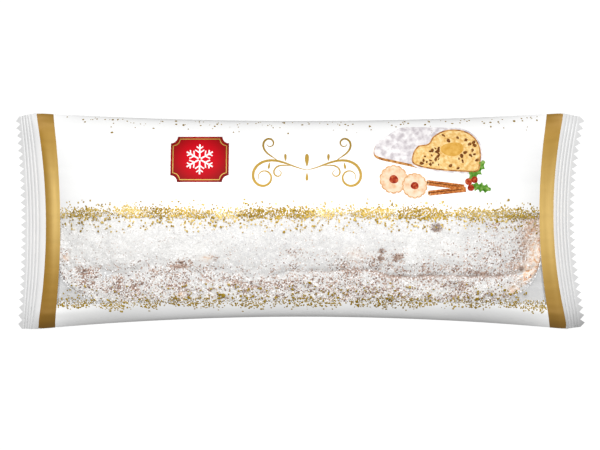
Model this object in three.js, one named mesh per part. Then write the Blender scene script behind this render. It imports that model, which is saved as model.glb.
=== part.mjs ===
// A fruit loaf in a sealed flow wrap: one pillow of printed film drawn round the loaf, closed
// at both ends by a crimped seal with a saw-cut edge, and along its underside by a flap that
// is folded flat. The pack lies on its underside, on z = 0.
// Millimetres. X runs along the pack, Y across it and Z up.
import * as THREE from "three";

// The whole pack.
const LENGTH = 360; // tooth tip to tooth tip, but for the skew of the seals
const HEIGHT = 42; // of the filled middle
const SEAL_HEIGHT = 17; // of the end seals and side folds above the base
const SEAL_HALF_WIDTH = 68.7; // half the flat width of the film tube, kept at the seals
const WAIST_BACK = 63.6; // half-width at mid-length, +Y side
const WAIST_FRONT = 60.6; // half-width at mid-length, -Y side
const WAIST_POWER = 2; // of the outline's growth from the waist to the seals

// The filled part, between the two seal lines.
const TOP_POWER = 6; // the higher, the longer the top stays level before it falls to the seal
const BASE_HALF_LENGTH = 122; // the loaf holds the film flat on the ground this far
const BASE_POWER = 2.2; // of the underside's rise from there to the seal
const BASE_FLAT_SHARE = 0.5; // share of the half-width that lies flat on the ground
const DOME_POWER = 2.15; // of the section over the top: 2 is an ellipse
const BELLY_POWER = 2; // of the section under the side folds
const CREASED_SIDE = 0.95; // root power of a section at the seals, where the sides are creases
const CREASE_ONSET = 2.5; // the higher, the nearer the seals the round sides turn to creases

// The end seals: teeth, then crimped ribs, then a plain strip up to the seal line.
const TOOTH_COUNT = 28;
const TOOTH_DEPTH = 2.85;
const TOOTH_MARGIN = 0.6; // film between a tooth's root and the outermost rib
const RIB_COUNT = 4;
const RIB_PITCH = 1.9;
const RIB_HEIGHT = 0.36; // crest to groove
const PLAIN_STRIP = 1.95;
const SEAL_THICKNESS = 0.6;
const TIP_HALF_WIDTH = 66; // the seal's cut ends slope in from SEAL_HALF_WIDTH to this
const SEAL_DROOP = 2; // of the tooth tips below the seal line
const CORNER_DROOP = 0.8; // of the tips at the seal's corners, below those at its middle
const DROOP_POWER = 1.5; // of the droop's growth from the seal line to the tips

// The filled middle pulls each seal in, so it bows towards the loaf.
const SEAL_BOW = { left: 4.9, right: 6.9 };
const TIP_BOW = { left: 3.0, right: 8.2 };
const BOW_POWER = 1.5; // of the bow's growth from mid-length to the seal line

// Neither seal lies quite square: its +Y corner stands this much further out than its
// middle line would put it, and its -Y corner as much less.
const SEAL_SKEW = { left: 0.45, right: -1.05 };
const TIP_SKEW = { left: 1.1, right: -1.6 };

// The back seam's flap, pressed level with the base: the film bridges its two edges.
const FLAP_HALF_WIDTH = 5.5;
const FLAP_THICKNESS = 0.4;
const FLAP_EDGE = 0.15; // width of the step at its edge
const FLAP_BRIDGE = 3.5; // width of the film's slope back to the base

// Fineness of the mesh.
const TOP_COLUMNS = 30;
const BASE_SIDE_COLUMNS = 9; // each side, from the flap's bridge to the side fold
const FILLED_ROWS = 58;
const ROW_CROWDING = 0.72; // the smaller, the closer the rows stand near the seals

const TIP_LINE = LENGTH / 2;
const TOOTH_ROOT = TIP_LINE - TOOTH_DEPTH;
const RIB_START = TOOTH_ROOT - TOOTH_MARGIN;
const SEAL_LINE = RIB_START - RIB_COUNT * RIB_PITCH - PLAIN_STRIP;
const { clamp, lerp } = THREE.MathUtils;

// A place on the film is (u, v): u runs along the pack and counts to LENGTH / 2 at the tooth
// tips, and v runs across it, from 1 at the +Y side fold to -1 at the -Y one.

function sealShare(u) {
  return clamp((Math.abs(u) - SEAL_LINE) / (TIP_LINE - SEAL_LINE), 0, 1);
}

// What grows from nothing at mid-length to one value at the seal line, another at the tips.
function towardsSeal(u, atSeal, atTips) {
  const side = u < 0 ? "left" : "right";
  const filled = atSeal[side] * Math.min(1, Math.abs(u) / SEAL_LINE) ** BOW_POWER;
  return lerp(filled, atTips[side], sealShare(u));
}

function planX(u, v) {
  const bow = towardsSeal(u, SEAL_BOW, TIP_BOW) * (1 - v * v);
  const skew = towardsSeal(u, SEAL_SKEW, TIP_SKEW) * v;
  return u - Math.sign(u) * (bow - skew);
}

function halfWidth(u, v) {
  const waist = v > 0 ? WAIST_BACK : WAIST_FRONT;
  const alongFilled = Math.min(1, Math.abs(u) / SEAL_LINE);
  const tube = lerp(waist, SEAL_HALF_WIDTH, alongFilled ** WAIST_POWER);
  return lerp(tube, TIP_HALF_WIDTH, sealShare(u));
}

// The root power that closes a section: round sides at mid-length, creases at the seals.
function sidePower(u, roundPower) {
  const nearness = Math.min(1, Math.abs(u) / SEAL_LINE) ** CREASE_ONSET;
  return lerp(1 / roundPower, CREASED_SIDE, nearness);
}

function topZ(u, v) {
  const rise = (HEIGHT - SEAL_HEIGHT) * (1 - (Math.abs(u) / SEAL_LINE) ** TOP_POWER);
  const section = (1 - Math.abs(v) ** DOME_POWER) ** sidePower(u, DOME_POWER);
  return SEAL_HEIGHT + rise * section;
}

function flapRelief(y) {
  const beyondStep = Math.abs(y) - FLAP_HALF_WIDTH - FLAP_EDGE;
  if (beyondStep < -FLAP_EDGE / 2) return 0;
  return FLAP_THICKNESS * clamp(1 - beyondStep / FLAP_BRIDGE, 0, 1);
}

function baseZ(u, v) {
  const past = clamp((Math.abs(u) - BASE_HALF_LENGTH) / (SEAL_LINE - BASE_HALF_LENGTH), 0, 1);
  const drop = SEAL_HEIGHT * (1 - past ** BASE_POWER);
  const outward = clamp((Math.abs(v) - BASE_FLAT_SHARE) / (1 - BASE_FLAT_SHARE), 0, 1);
  const section = (1 - outward ** BELLY_POWER) ** sidePower(u, BELLY_POWER);
  return SEAL_HEIGHT - drop * section + flapRelief(v * halfWidth(u, v));
}

function sealZ(u, v) {
  const share = sealShare(u);
  return SEAL_HEIGHT - share ** DROOP_POWER * (SEAL_DROOP + CORNER_DROOP * v * v);
}

// The crimp lifts crests and presses grooves by the same amount on both faces.
function ribZ(u) {
  const fromStart = (RIB_START - Math.abs(u)) / RIB_PITCH;
  if (fromStart < 0 || fromStart > RIB_COUNT) return 0;
  return (RIB_HEIGHT / 2) * Math.cos(2 * Math.PI * fromStart);
}

// Columns across the pack, from the +Y side fold over the top, and back along the underside.
function topColumns() {
  return Array.from({ length: TOP_COLUMNS + 1 }, (_, i) =>
    Math.cos((Math.PI * i) / TOP_COLUMNS),
  );
}

function baseColumns(u) {
  const edges = [FLAP_HALF_WIDTH, FLAP_HALF_WIDTH + FLAP_EDGE];
  edges.push(edges[1] + FLAP_BRIDGE);
  const half = (side) => {
    const flap = edges.map((y) => y / halfWidth(u, side));
    const start = flap[2];
    const outer = Array.from({ length: BASE_SIDE_COLUMNS - 1 }, (_, i) => {
      const turn = (Math.PI / 2) * ((i + 1) / BASE_SIDE_COLUMNS);
      return start + (1 - start) * Math.sin(turn);
    });
    return [...flap, ...outer].map((v) => side * v);
  };
  return [...half(-1).reverse(), ...half(1)];
}

// One ring of film round the pack at u: over the top from +Y to -Y, then back underneath.
function ring(u) {
  const sealed = Math.abs(u) >= SEAL_LINE;
  const half = SEAL_THICKNESS / 2;
  const top = topColumns().map((v, i) => {
    const fold = i === 0 || i === TOP_COLUMNS;
    const z = sealed ? sealZ(u, v) + ribZ(u) + (fold ? 0 : half) : topZ(u, v);
    return new THREE.Vector3(planX(u, v), v * halfWidth(u, v), z);
  });
  const base = baseColumns(u).map((v) => {
    const z = sealed ? sealZ(u, v) + ribZ(u) - half : baseZ(u, v);
    return new THREE.Vector3(planX(u, v), v * halfWidth(u, v), z);
  });
  return [...top, ...base];
}

// The saw-cut edge at one end: roots and tips in turn, on the seal's upper and lower face.
function sawEdge(end) {
  const steps = 2 * TOOTH_COUNT;
  const face = (lift) =>
    Array.from({ length: steps + 1 }, (_, i) => {
      const v = 1 - (2 * i) / steps;
      const u = end * (i % 2 ? TIP_LINE : TOOTH_ROOT);
      const corner = i === 0 || i === steps;
      const z = sealZ(u, v) + (corner ? 0 : lift);
      return new THREE.Vector3(planX(u, v), v * halfWidth(u, v), z);
    });
  return { top: face(SEAL_THICKNESS / 2), base: face(-SEAL_THICKNESS / 2) };
}

function rowPlaces() {
  const ribRows = Array.from(
    { length: 2 * RIB_COUNT + 1 },
    (_, i) => RIB_START - (i * RIB_PITCH) / 2,
  );
  const filledRows = Array.from({ length: FILLED_ROWS + 1 }, (_, i) => {
    const share = 1 - (2 * i) / FILLED_ROWS;
    return Math.sign(share) * SEAL_LINE * Math.abs(share) ** ROW_CROWDING;
  });
  const left = ribRows.map((u) => -u);
  return [...ribRows, ...filledRows, ...left.reverse()].reverse();
}

// Collects points and triangles into one closed surface.
class Surface {
  positions = [];
  triangles = [];

  addAll(points) {
    const first = this.positions.length / 3;
    points.forEach((p) => this.positions.push(p.x, p.y, p.z));
    return points.map((_, i) => first + i);
  }

  triangle(a, b, c) {
    if (a !== b && b !== c && c !== a) this.triangles.push(a, b, c);
  }

  // Joins two rings with as many points each; the second lies further along +X.
  joinRings(from, to) {
    from.forEach((a, i) => {
      const next = (i + 1) % from.length;
      this.triangle(a, to[next], to[i]);
      this.triangle(a, from[next], to[next]);
    });
  }

  // Joins two lines with different counts of points, both running from +Y to -Y.
  zip(lineA, lineB, flipped) {
    const y = (index) => this.positions[3 * index + 1];
    const face = (a, b, c) => (flipped ? this.triangle(a, c, b) : this.triangle(a, b, c));
    let i = 0;
    let j = 0;
    while (i < lineA.length - 1 || j < lineB.length - 1) {
      const aNext = i < lineA.length - 1 ? y(lineA[i + 1]) : -Infinity;
      const bNext = j < lineB.length - 1 ? y(lineB[j + 1]) : -Infinity;
      if (aNext >= bNext) {
        face(lineA[i], lineA[i + 1], lineB[j]);
        i += 1;
      } else {
        face(lineA[i], lineB[j + 1], lineB[j]);
        j += 1;
      }
    }
  }

  geometry() {
    const made = new THREE.BufferGeometry();
    made.setAttribute("position", new THREE.Float32BufferAttribute(this.positions, 3));
    made.setIndex(this.triangles);
    made.computeVertexNormals();
    return made;
  }
}

// Closes one end: the last ring is zipped to the saw edge on both faces, and the edge is
// walled from face to face.
function closeEnd(surface, lastRing, end) {
  const edge = sawEdge(end);
  const top = surface.addAll(edge.top);
  const inner = surface.addAll(edge.base.slice(1, -1));
  const base = [top[0], ...inner, top[top.length - 1]];
  const ringTop = lastRing.slice(0, TOP_COLUMNS + 1);
  const ringBase = [...lastRing.slice(TOP_COLUMNS), lastRing[0]].reverse();
  const right = end > 0;
  surface.zip(ringTop, top, !right);
  surface.zip(ringBase, base, right);
  surface.zip(top, base, !right);
}

function makePack() {
  const surface = new Surface();
  const rings = rowPlaces().map((u) => surface.addAll(ring(u)));
  for (let i = 1; i < rings.length; i += 1) {
    surface.joinRings(rings[i - 1], rings[i]);
  }
  closeEnd(surface, rings[0], -1);
  closeEnd(surface, rings[rings.length - 1], 1);
  const film = new THREE.MeshStandardMaterial({
    color: "#f4f2ec",
    roughness: 0.35,
    metalness: 0,
  });
  const mesh = new THREE.Mesh(surface.geometry(), film);
  mesh.name = "sealed_pack";
  return mesh;
}

const pack = new THREE.Group();
pack.add(makePack());
export default pack;
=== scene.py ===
# %% [markdown]
# # A stollen in its flow wrap
#
# A flow wrap is one web of thin polypropylene film. The packing machine folds it into a tube
# round the loaf, welds its two long edges into a flap under the pack, and crimps and saws
# the tube shut at both ends. Most of the web is printed white, with gold bands and a gold
# glitter print; an unprinted strip between two rows of glitter shows the loaf.
#
# The fixed frame is loaded first. Its one solid, the whole shut pack, gives the place and
# the size that the film, the prints and the loaf keep to. Lengths are in millimetres until
# a mesh gets them, because Blender counts in metres.

# %% Load the fixed frame
import math
import random

import bmesh
import bpy
import numpy as np
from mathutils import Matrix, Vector
from mathutils.bvhtree import BVHTree
from mathutils.geometry import convex_hull_2d


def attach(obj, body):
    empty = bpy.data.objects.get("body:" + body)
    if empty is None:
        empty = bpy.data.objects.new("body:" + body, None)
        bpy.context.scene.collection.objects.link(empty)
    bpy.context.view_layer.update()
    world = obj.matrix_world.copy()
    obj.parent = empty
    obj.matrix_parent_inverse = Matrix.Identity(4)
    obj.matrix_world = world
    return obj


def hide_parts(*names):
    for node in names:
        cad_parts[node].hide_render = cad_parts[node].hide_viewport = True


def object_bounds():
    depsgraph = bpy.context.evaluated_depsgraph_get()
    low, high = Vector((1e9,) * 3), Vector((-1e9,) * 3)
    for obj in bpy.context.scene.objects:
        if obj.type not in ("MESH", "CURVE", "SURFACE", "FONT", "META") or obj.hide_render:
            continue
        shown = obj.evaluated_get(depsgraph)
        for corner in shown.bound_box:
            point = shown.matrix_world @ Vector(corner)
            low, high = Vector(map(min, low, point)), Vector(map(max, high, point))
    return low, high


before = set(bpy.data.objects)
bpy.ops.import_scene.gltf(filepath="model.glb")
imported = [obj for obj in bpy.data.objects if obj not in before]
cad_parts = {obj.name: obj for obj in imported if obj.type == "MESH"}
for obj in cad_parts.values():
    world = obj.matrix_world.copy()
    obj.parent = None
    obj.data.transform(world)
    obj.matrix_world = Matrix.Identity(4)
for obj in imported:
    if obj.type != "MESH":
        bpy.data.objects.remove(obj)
cad_low, cad_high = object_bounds()
MM = 0.001
PACK = "sealed_pack"
size_mm = [round((high - low) / MM, 1) for low, high in zip(cad_low, cad_high)]
print("the pack measures", size_mm, "mm")

# %% [markdown]
# ## Small helpers
#
# Shapes are formulas on whole arrays of points, and a few sums come back in most of them.
# An operator acts on whatever is selected, so everything is deselected before a primitive
# is added. A mesh's points are placed all at once, as an array of millimetres.


# %% Helpers for numbers
def blend(a, b, share):
    return a + (b - a) * share


def progress(value, start, end):
    """How far a value has come on its way from start to end, held between 0 and 1."""
    return np.clip((value - start) / (end - start), 0, 1)


def bell(value, centre, spread):
    """1 at the centre, and softly less on both sides of it."""
    return np.exp(-(((value - centre) / spread) ** 2))


def unit(vectors):
    return vectors / np.linalg.norm(vectors, axis=1)[:, None]


def pointing(angle):
    """The x and y of a step of length 1 in each direction."""
    return np.stack([np.cos(angle), np.sin(angle)], axis=-1)


# %% Helpers for meshes
SMOOTH_BELOW = math.radians(40)


def deselect_all():
    bpy.ops.object.select_all(action="DESELECT")


def make_active(piece):
    deselect_all()
    piece.select_set(True)
    bpy.context.view_layer.objects.active = piece


def read_points(piece):
    points = np.empty(len(piece.data.vertices) * 3)
    piece.data.vertices.foreach_get("co", points)
    return points.reshape(-1, 3)


def place_points(piece, points_mm):
    piece.data.vertices.foreach_set("co", (np.asarray(points_mm) * MM).ravel())
    piece.data.update()


def lay_grid(name, x_cells, y_cells):
    """A flat grid, and the x and y of its points, both from -1 to 1."""
    deselect_all()
    bpy.ops.mesh.primitive_grid_add(x_subdivisions=x_cells, y_subdivisions=y_cells, size=2)
    grid = bpy.context.object
    grid.name = name
    return grid, *read_points(grid)[:, :2].T


def line_number(flat, cells):
    """Which line of the grid a point is on: 0 where flat is -1, and cells where it is 1."""
    return np.rint((flat + 1) / 2 * cells).astype(int)


def flip_faces(piece):
    make_active(piece)
    bpy.ops.object.mode_set(mode="EDIT")
    bpy.ops.mesh.select_all(action="SELECT")
    bpy.ops.mesh.flip_normals()
    bpy.ops.object.mode_set(mode="OBJECT")


def apply_modifier(piece, kind, **settings):
    """Adds a modifier with its settings and applies it, as the Apply button does."""
    make_active(piece)
    modifier = piece.modifiers.new(kind.title(), kind)
    for name, value in settings.items():
        setattr(modifier, name, value)
    bpy.ops.object.modifier_apply(modifier=modifier.name)


def thicken(piece, thickness_mm):
    """Makes a skin a sheet that grows inward from it."""
    apply_modifier(piece, "SOLIDIFY", thickness=thickness_mm * MM, offset=-1)


def mesh_piece(name, points_mm, faces):
    """A piece from an array of points, for what is too scattered to model by hand."""
    mesh = bpy.data.meshes.new(name)
    mesh.from_pydata((np.asarray(points_mm) * MM).tolist(), [], faces)
    piece = bpy.data.objects.new(name, mesh)
    bpy.context.collection.objects.link(piece)
    return piece


def store(piece, name, values):
    """Keeps one number for each point of a piece, for its material to read."""
    attribute = piece.data.attributes.new(name, "FLOAT", "POINT")
    attribute.data.foreach_set("value", np.asarray(values, np.float32))


def finish_piece(piece, material):
    """Gives a piece its finish and smooth shading, and puts it in the frame."""
    piece.data.materials.append(material)
    make_active(piece)
    bpy.ops.object.shade_smooth_by_angle(angle=SMOOTH_BELOW)
    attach(piece, "root")
    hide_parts(PACK)
    print(piece.name, len(piece.data.polygons), "faces")


# %% [markdown]
# ## Helpers for materials
#
# One function turns a colour picked as sRGB hex into the linear numbers that shaders use,
# and one function adds a node with its settings and links. The others make with it what
# most materials need: sums, ranges, ramps of colour, noise and a Principled surface.


# %% Helpers for materials
def linear(hex_colour):
    channels = [int(hex_colour[i : i + 2], 16) / 255 for i in (1, 3, 5)]
    curved = [c / 12.92 if c <= 0.04045 else ((c + 0.055) / 1.055) ** 2.4 for c in channels]
    return (*curved, 1.0)


def new_material(name):
    """A material with nothing in it yet, and its tree."""
    material = bpy.data.materials.new(name)
    material.use_nodes = True
    material.node_tree.nodes.clear()
    return material, material.node_tree


def add_node(tree, kind, inputs=None, **settings):
    """Adds a node. inputs gives each socket a value, or the node or output that feeds it."""
    node = tree.nodes.new("ShaderNode" + kind)
    for name, value in settings.items():
        setattr(node, name, value)
    for socket, value in (inputs or {}).items():
        if isinstance(value, bpy.types.Node):
            value = value.outputs[0]
        if isinstance(value, bpy.types.NodeSocket):
            tree.links.new(value, node.inputs[socket])
        else:
            node.inputs[socket].default_value = value
    return node


def calculate(tree, operation, *values, clamp=False):
    inputs = dict(enumerate(values))
    return add_node(tree, "Math", inputs, operation=operation, use_clamp=clamp)


def multiply_add(tree, first, second, third):
    return calculate(tree, "MULTIPLY_ADD", first, second, third)


def remap(tree, value, start=(0, 1), to=(0, 1)):
    """Carries a value evenly from the range start to the range to, and no farther."""
    ends = {"From Min": start[0], "From Max": start[1], "To Min": to[0], "To Max": to[1]}
    return add_node(tree, "MapRange", {"Value": value, **ends})


def ramp(tree, share, *stops):
    """Colours that follow share, from stops of (place, sRGB hex)."""
    node = add_node(tree, "ValToRGB", {"Fac": share})
    elements = node.color_ramp.elements
    while len(elements) < len(stops):
        elements.new(0.5)
    for element, (position, colour) in zip(elements, stops):
        element.position = position
        element.color = linear(colour)
    return node


def blend_colours(tree, share, first, second):
    inputs = {"Factor": share, 6: first, 7: second}
    return add_node(tree, "Mix", inputs, data_type="RGBA").outputs[2]


def stored(tree, name):
    """The number that store kept under a name."""
    return add_node(tree, "Attribute", attribute_name=name).outputs["Fac"]


def own_place(tree):
    return add_node(tree, "TexCoord").outputs["Object"]


def noise_at(tree, size_mm, detail=2.0, stretch=(1, 1, 1)):
    """A noise pattern whose lumps are about size_mm wide, on the piece's own coordinates."""
    place = add_node(tree, "Mapping", {"Vector": own_place(tree), "Scale": stretch})
    inputs = {"Vector": place, "Scale": 1 / (size_mm * MM), "Detail": detail}
    return add_node(tree, "TexNoise", inputs)


def bump(tree, height, strength, depth_mm):
    inputs = {"Height": height, "Strength": strength, "Distance": depth_mm * MM}
    return add_node(tree, "Bump", inputs)


def add_surface(tree, colour, roughness, **inputs):
    """Ends a tree in a Principled surface. In the names of inputs, _ stands for a space."""
    sockets = {name.replace("_", " "): value for name, value in inputs.items()}
    sockets.update({"Base Color": colour, "Roughness": roughness})
    surface = add_node(tree, "BsdfPrincipled", sockets)
    add_node(tree, "OutputMaterial", {"Surface": surface})


# %% [markdown]
# ## The form of the shut pack
#
# Film can't stretch, so the shape of the pack follows from its two seals. Each seal keeps
# the tube's full flat width; the filled middle is drawn in to a waist, with round sides
# that sharpen to creases towards the seals. A place on the film is (u, v): u runs along
# the pack and counts to half its length at the tooth tips, and v runs across it, from 1 at
# the back side fold to -1 at the front one. All film pieces and prints use these functions,
# so they fit each other and the solid of the frame.

# %% Sizes of the pack
LENGTH = 360.0
HEIGHT = 42.0
SEAL_HEIGHT = 17.0
SEAL_HALF_WIDTH = 68.7
WAIST_BACK = 63.6
WAIST_FRONT = 60.6
WAIST_POWER = 2.0
TOP_POWER = 6.0
BASE_HALF_LENGTH = 122.0
BASE_POWER = 2.2
BASE_FLAT_SHARE = 0.5
DOME_POWER = 2.15
BELLY_POWER = 2.0
CREASED_SIDE = 0.95
CREASE_ONSET = 2.5
TOOTH_COUNT = 28
TOOTH_DEPTH = 2.85
TOOTH_MARGIN = 0.6
RIB_COUNT = 4
RIB_PITCH = 1.9
RIB_HEIGHT = 0.36
PLAIN_STRIP = 1.95
SEAL_THICKNESS = 0.6
TIP_HALF_WIDTH = 66.0
SEAL_DROOP = 2.0
CORNER_DROOP = 0.8
DROOP_POWER = 1.5
SEAL_BOW = (4.9, 6.9)
TIP_BOW = (3.0, 8.2)
SEAL_SKEW = (0.45, -1.05)
TIP_SKEW = (1.1, -1.6)
BOW_POWER = 1.5
SPLAY_FRONT = (1.1, 1.25)
SPLAY_BACK = (0.95, 0.75)
SPLAY_POWER = 4
FLAP_HALF_WIDTH = 5.5
FLAP_THICKNESS = 0.4
FLAP_BRIDGE = 3.5

TIP_LINE = LENGTH / 2
TOOTH_ROOT = TIP_LINE - TOOTH_DEPTH
RIB_START = TOOTH_ROOT - TOOTH_MARGIN
SEAL_LINE = RIB_START - RIB_COUNT * RIB_PITCH - PLAIN_STRIP


# %% Where a place on the film lies
def seal_share(u):
    return progress(np.abs(u), SEAL_LINE, TIP_LINE)


def filled_share(u):
    return np.minimum(1, np.abs(u) / SEAL_LINE)


def towards_seal(u, at_seal, at_tips):
    """What grows from nothing at mid-length to one value at a seal and another at its tips."""
    filled = np.where(u < 0, *at_seal) * filled_share(u) ** BOW_POWER
    return blend(filled, np.where(u < 0, *at_tips), seal_share(u))


def corner_splay(u, v):
    """How far the corners of the filled part stand out beyond the bow of the seal."""
    front, back = (np.where(u < 0, *ends) for ends in (SPLAY_FRONT, SPLAY_BACK))
    reach = filled_share(u) ** SPLAY_POWER * (1 - seal_share(u))
    return np.where(v < 0, front, back) * v * v * reach


def drawn_back(u, v):
    """How far the bow and the skew of its seal draw a place towards the pack's middle."""
    bow = towards_seal(u, SEAL_BOW, TIP_BOW) * (1 - v * v)
    return bow - towards_seal(u, SEAL_SKEW, TIP_SKEW) * v - corner_splay(u, v)


def plan_x(u, v):
    return u - np.sign(u) * drawn_back(u, v)


def half_width(u, v):
    waist = np.where(v > 0, WAIST_BACK, WAIST_FRONT)
    tube = blend(waist, SEAL_HALF_WIDTH, filled_share(u) ** WAIST_POWER)
    return blend(tube, TIP_HALF_WIDTH, seal_share(u))


def side_power(u, round_power):
    return blend(1 / round_power, CREASED_SIDE, filled_share(u) ** CREASE_ONSET)


def top_z(u, v):
    rise = (HEIGHT - SEAL_HEIGHT) * (1 - filled_share(u) ** TOP_POWER)
    section = np.maximum(0, 1 - np.abs(v) ** DOME_POWER) ** side_power(u, DOME_POWER)
    return SEAL_HEIGHT + rise * section


def base_z(u, v):
    drop = SEAL_HEIGHT * (1 - progress(np.abs(u), BASE_HALF_LENGTH, SEAL_LINE) ** BASE_POWER)
    outward = progress(np.abs(v), BASE_FLAT_SHARE, 1)
    section = (1 - outward**BELLY_POWER) ** side_power(u, BELLY_POWER)
    return SEAL_HEIGHT - drop * section


def seal_z(u, v):
    return SEAL_HEIGHT - seal_share(u) ** DROOP_POWER * (SEAL_DROOP + CORNER_DROOP * v * v)


print("the seals begin", round(SEAL_LINE, 1), "mm from the middle")

# %% [markdown]
# ## The web of film
#
# The web starts as a flat grid, like the film on its roll. Each line of the grid is then
# laid at its place round the loaf: the rows are stations along the pack, closer together
# near the seals, and the columns run from the back seam round one side, over the top and
# back. Columns also follow the two edges of the clear window, so that the window can later
# be parted from the white film along them.

# %% Stations and columns
BAND_START = 156.4
NEAR_START = 118.0
MIDDLE_STATIONS, NEAR_STATIONS, BAND_STATIONS = 50, 34, 9
WINDOW_BACK = 5.5
WINDOW_FRONT_WAIST = 50.6
WINDOW_FRONT_SPREAD = 2.6
BASE_COLUMNS, BACK_COLUMNS, WINDOW_COLUMNS, FRONT_COLUMNS = 26, 52, 42, 22
TOP_COLUMNS = BACK_COLUMNS + WINDOW_COLUMNS + FRONT_COLUMNS


def window_front(u):
    """Distance of the window's front edge from the middle of the pack."""
    return WINDOW_FRONT_WAIST + WINDOW_FRONT_SPREAD * filled_share(u) ** 2


def stations():
    middle = np.linspace(0, NEAR_START, MIDDLE_STATIONS)[:-1]
    near = np.linspace(NEAR_START, BAND_START, NEAR_STATIONS)[:-1]
    half = np.concatenate([middle, near, np.linspace(BAND_START, SEAL_LINE, BAND_STATIONS)])
    return np.concatenate([-half[:0:-1], half])


def web_line(u):
    """The v of every column at station u: half the base, the top, half the base."""
    back = math.acos(WINDOW_BACK / half_width(u, 1.0))
    front = math.acos(-window_front(u) / half_width(u, -1.0))
    quarter = np.linspace(0, math.pi / 2, BASE_COLUMNS + 1)
    over_top = [
        np.linspace(0, back, BACK_COLUMNS + 1),
        np.linspace(back, front, WINDOW_COLUMNS + 1)[1:],
        np.linspace(front, math.pi, FRONT_COLUMNS + 1)[1:],
    ]
    over_top = np.cos(np.concatenate(over_top))
    return np.concatenate([np.sin(quarter[:-1]), over_top, -np.sin(quarter[-2::-1])])


STATIONS = stations()
WEB_LINES = np.array([web_line(u) for u in STATIONS])
print("the web has", WEB_LINES.shape[0], "stations of", WEB_LINES.shape[1], "points")

# %% [markdown]
# Film drawn tight over a loaf still shows how it is held: short pleats run in from each
# crimped seal, and long shallow waves cross the filled part. They are sums of a few waves
# with seeded phases, a few tenths of a millimetre high. Near the ends, where the film
# flattens towards the seals, nothing holds its side edges up, so they hang a little.

# %% Pleats and waves
PLEAT_HEIGHT = 0.24
PLEAT_REACH = 13.0
PLEAT_LENGTHS = (5.3, 8.1, 12.7)
WAVE_HEIGHT = 0.16
WAVE_LENGTHS = (31.0, 47.0, 74.0)
WAVE_SLANT = 0.35
WELD_POWER = 60
SIDE_POWER = 8
EDGE_DROOP = (4.5, 1.8)
DROOP_REACH = 0.17
DROOP_START = (75.0, 50.0)
DROOP_FULL = 150.0
random.seed(11)
pleat_phases = [random.uniform(0, 2 * math.pi) for _ in PLEAT_LENGTHS]
wave_phases = [random.uniform(0, 2 * math.pi) for _ in WAVE_LENGTHS]


def edge_droop(u, v):
    """How far a side edge of the film hangs below its smooth form."""
    outward = progress(np.abs(v), 1 - DROOP_REACH, 1)
    along = progress(np.abs(u), np.where(u < 0, *DROOP_START), DROOP_FULL)
    return np.where(v < 0, *EDGE_DROOP) * outward**2 * along**2 * (3 - 2 * along)


def film_relief(u, v):
    """How far the film stands out from its smooth form, in millimetres."""
    y = v * SEAL_HALF_WIDTH
    held = filled_share(u)
    pleats, waves = 0, 0
    for length, phase in zip(PLEAT_LENGTHS, pleat_phases):
        pleats = pleats + np.sin(2 * math.pi * y / length + phase * (2 + np.sign(u)))
    for length, phase in zip(WAVE_LENGTHS, wave_phases):
        along = 2 * math.pi * (u + WAVE_SLANT * y) / length
        waves = waves + np.sin(along + phase) * np.cos(y / length * 2 + phase)
    fade = np.exp(-(SEAL_LINE - np.abs(u)) / PLEAT_REACH) * (1 - held**WELD_POWER)
    relief = PLEAT_HEIGHT * pleats * fade + WAVE_HEIGHT * waves * (1 - held**SIDE_POWER)
    return relief * (1 - v**SIDE_POWER)


# %% Lay the web round the loaf
CLOSING_POWER = 30
SIDE_FOLD_POWER = 20
RELIEF_RISE = (0.5, 4.5)


def closing(u):
    """How the two films part from the seal's middle plane to its faces."""
    return SEAL_THICKNESS / 2 * filled_share(u) ** CLOSING_POWER


def lay_web():
    rows, columns = (count - 1 for count in WEB_LINES.shape)
    web, flat_x, flat_y = lay_grid("web", rows, columns)
    row, column = line_number(flat_x, rows), line_number(flat_y, columns)
    on_top = (column >= BASE_COLUMNS) & (column <= BASE_COLUMNS + TOP_COLUMNS)
    u, v = STATIONS[row], WEB_LINES[row, column]
    y = v * half_width(u, v)
    flap = progress(np.abs(y), FLAP_HALF_WIDTH + FLAP_BRIDGE, FLAP_HALF_WIDTH)
    parted = closing(u) * (1 - v**SIDE_FOLD_POWER)
    relief, hanging = film_relief(u, v), edge_droop(u, v)
    top = top_z(u, v) + parted + relief - hanging
    low = base_z(u, v)
    relief = relief * progress(low, *RELIEF_RISE)
    base = low - parted - relief + FLAP_THICKNESS * flap - hanging
    place_points(web, np.column_stack([plan_x(u, v), y, np.where(on_top, top, base)]))
    return web, u, v, on_top


web, web_u, web_v, web_on_top = lay_web()
print("the web has", len(web.data.polygons), "faces")

# %% [markdown]
# Later steps drop specks and inks onto the web from above. A BVH tree is a sorted copy of
# its faces that answers where a straight ray meets them, and which way the film faces there.

# %% Ask the film for a place
DROP_HEIGHT = 80.0
web_surface = BVHTree.FromPolygons(
    [vertex.co.copy() for vertex in web.data.vertices],
    [tuple(polygon.vertices) for polygon in web.data.polygons],
)


def drop_on(surface, x, y, lift):
    """The point lift above a surface, straight below (x, y), and its normal, in mm."""
    start = Vector((x * MM, y * MM, DROP_HEIGHT * MM))
    hit, normal, _, _ = surface.ray_cast(start, Vector((0, 0, -1)))
    if hit is None:
        return None, None
    normal = normal if normal.z > 0 else -normal
    return np.array(hit) / MM + lift * np.array(normal), np.array(normal)


# %% [markdown]
# ## White printed film
#
# The web is oriented polypropylene, clear and about 0.04 mm thick, printed white on its
# inner side. The eye sees an even, slightly soft white under a smooth satin gloss. Faint
# mottling comes from the ink and from air between film and loaf. Where the jaws crimp two
# films into one sheet, no air is left behind the white, and it reads as a pale grey.


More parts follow.
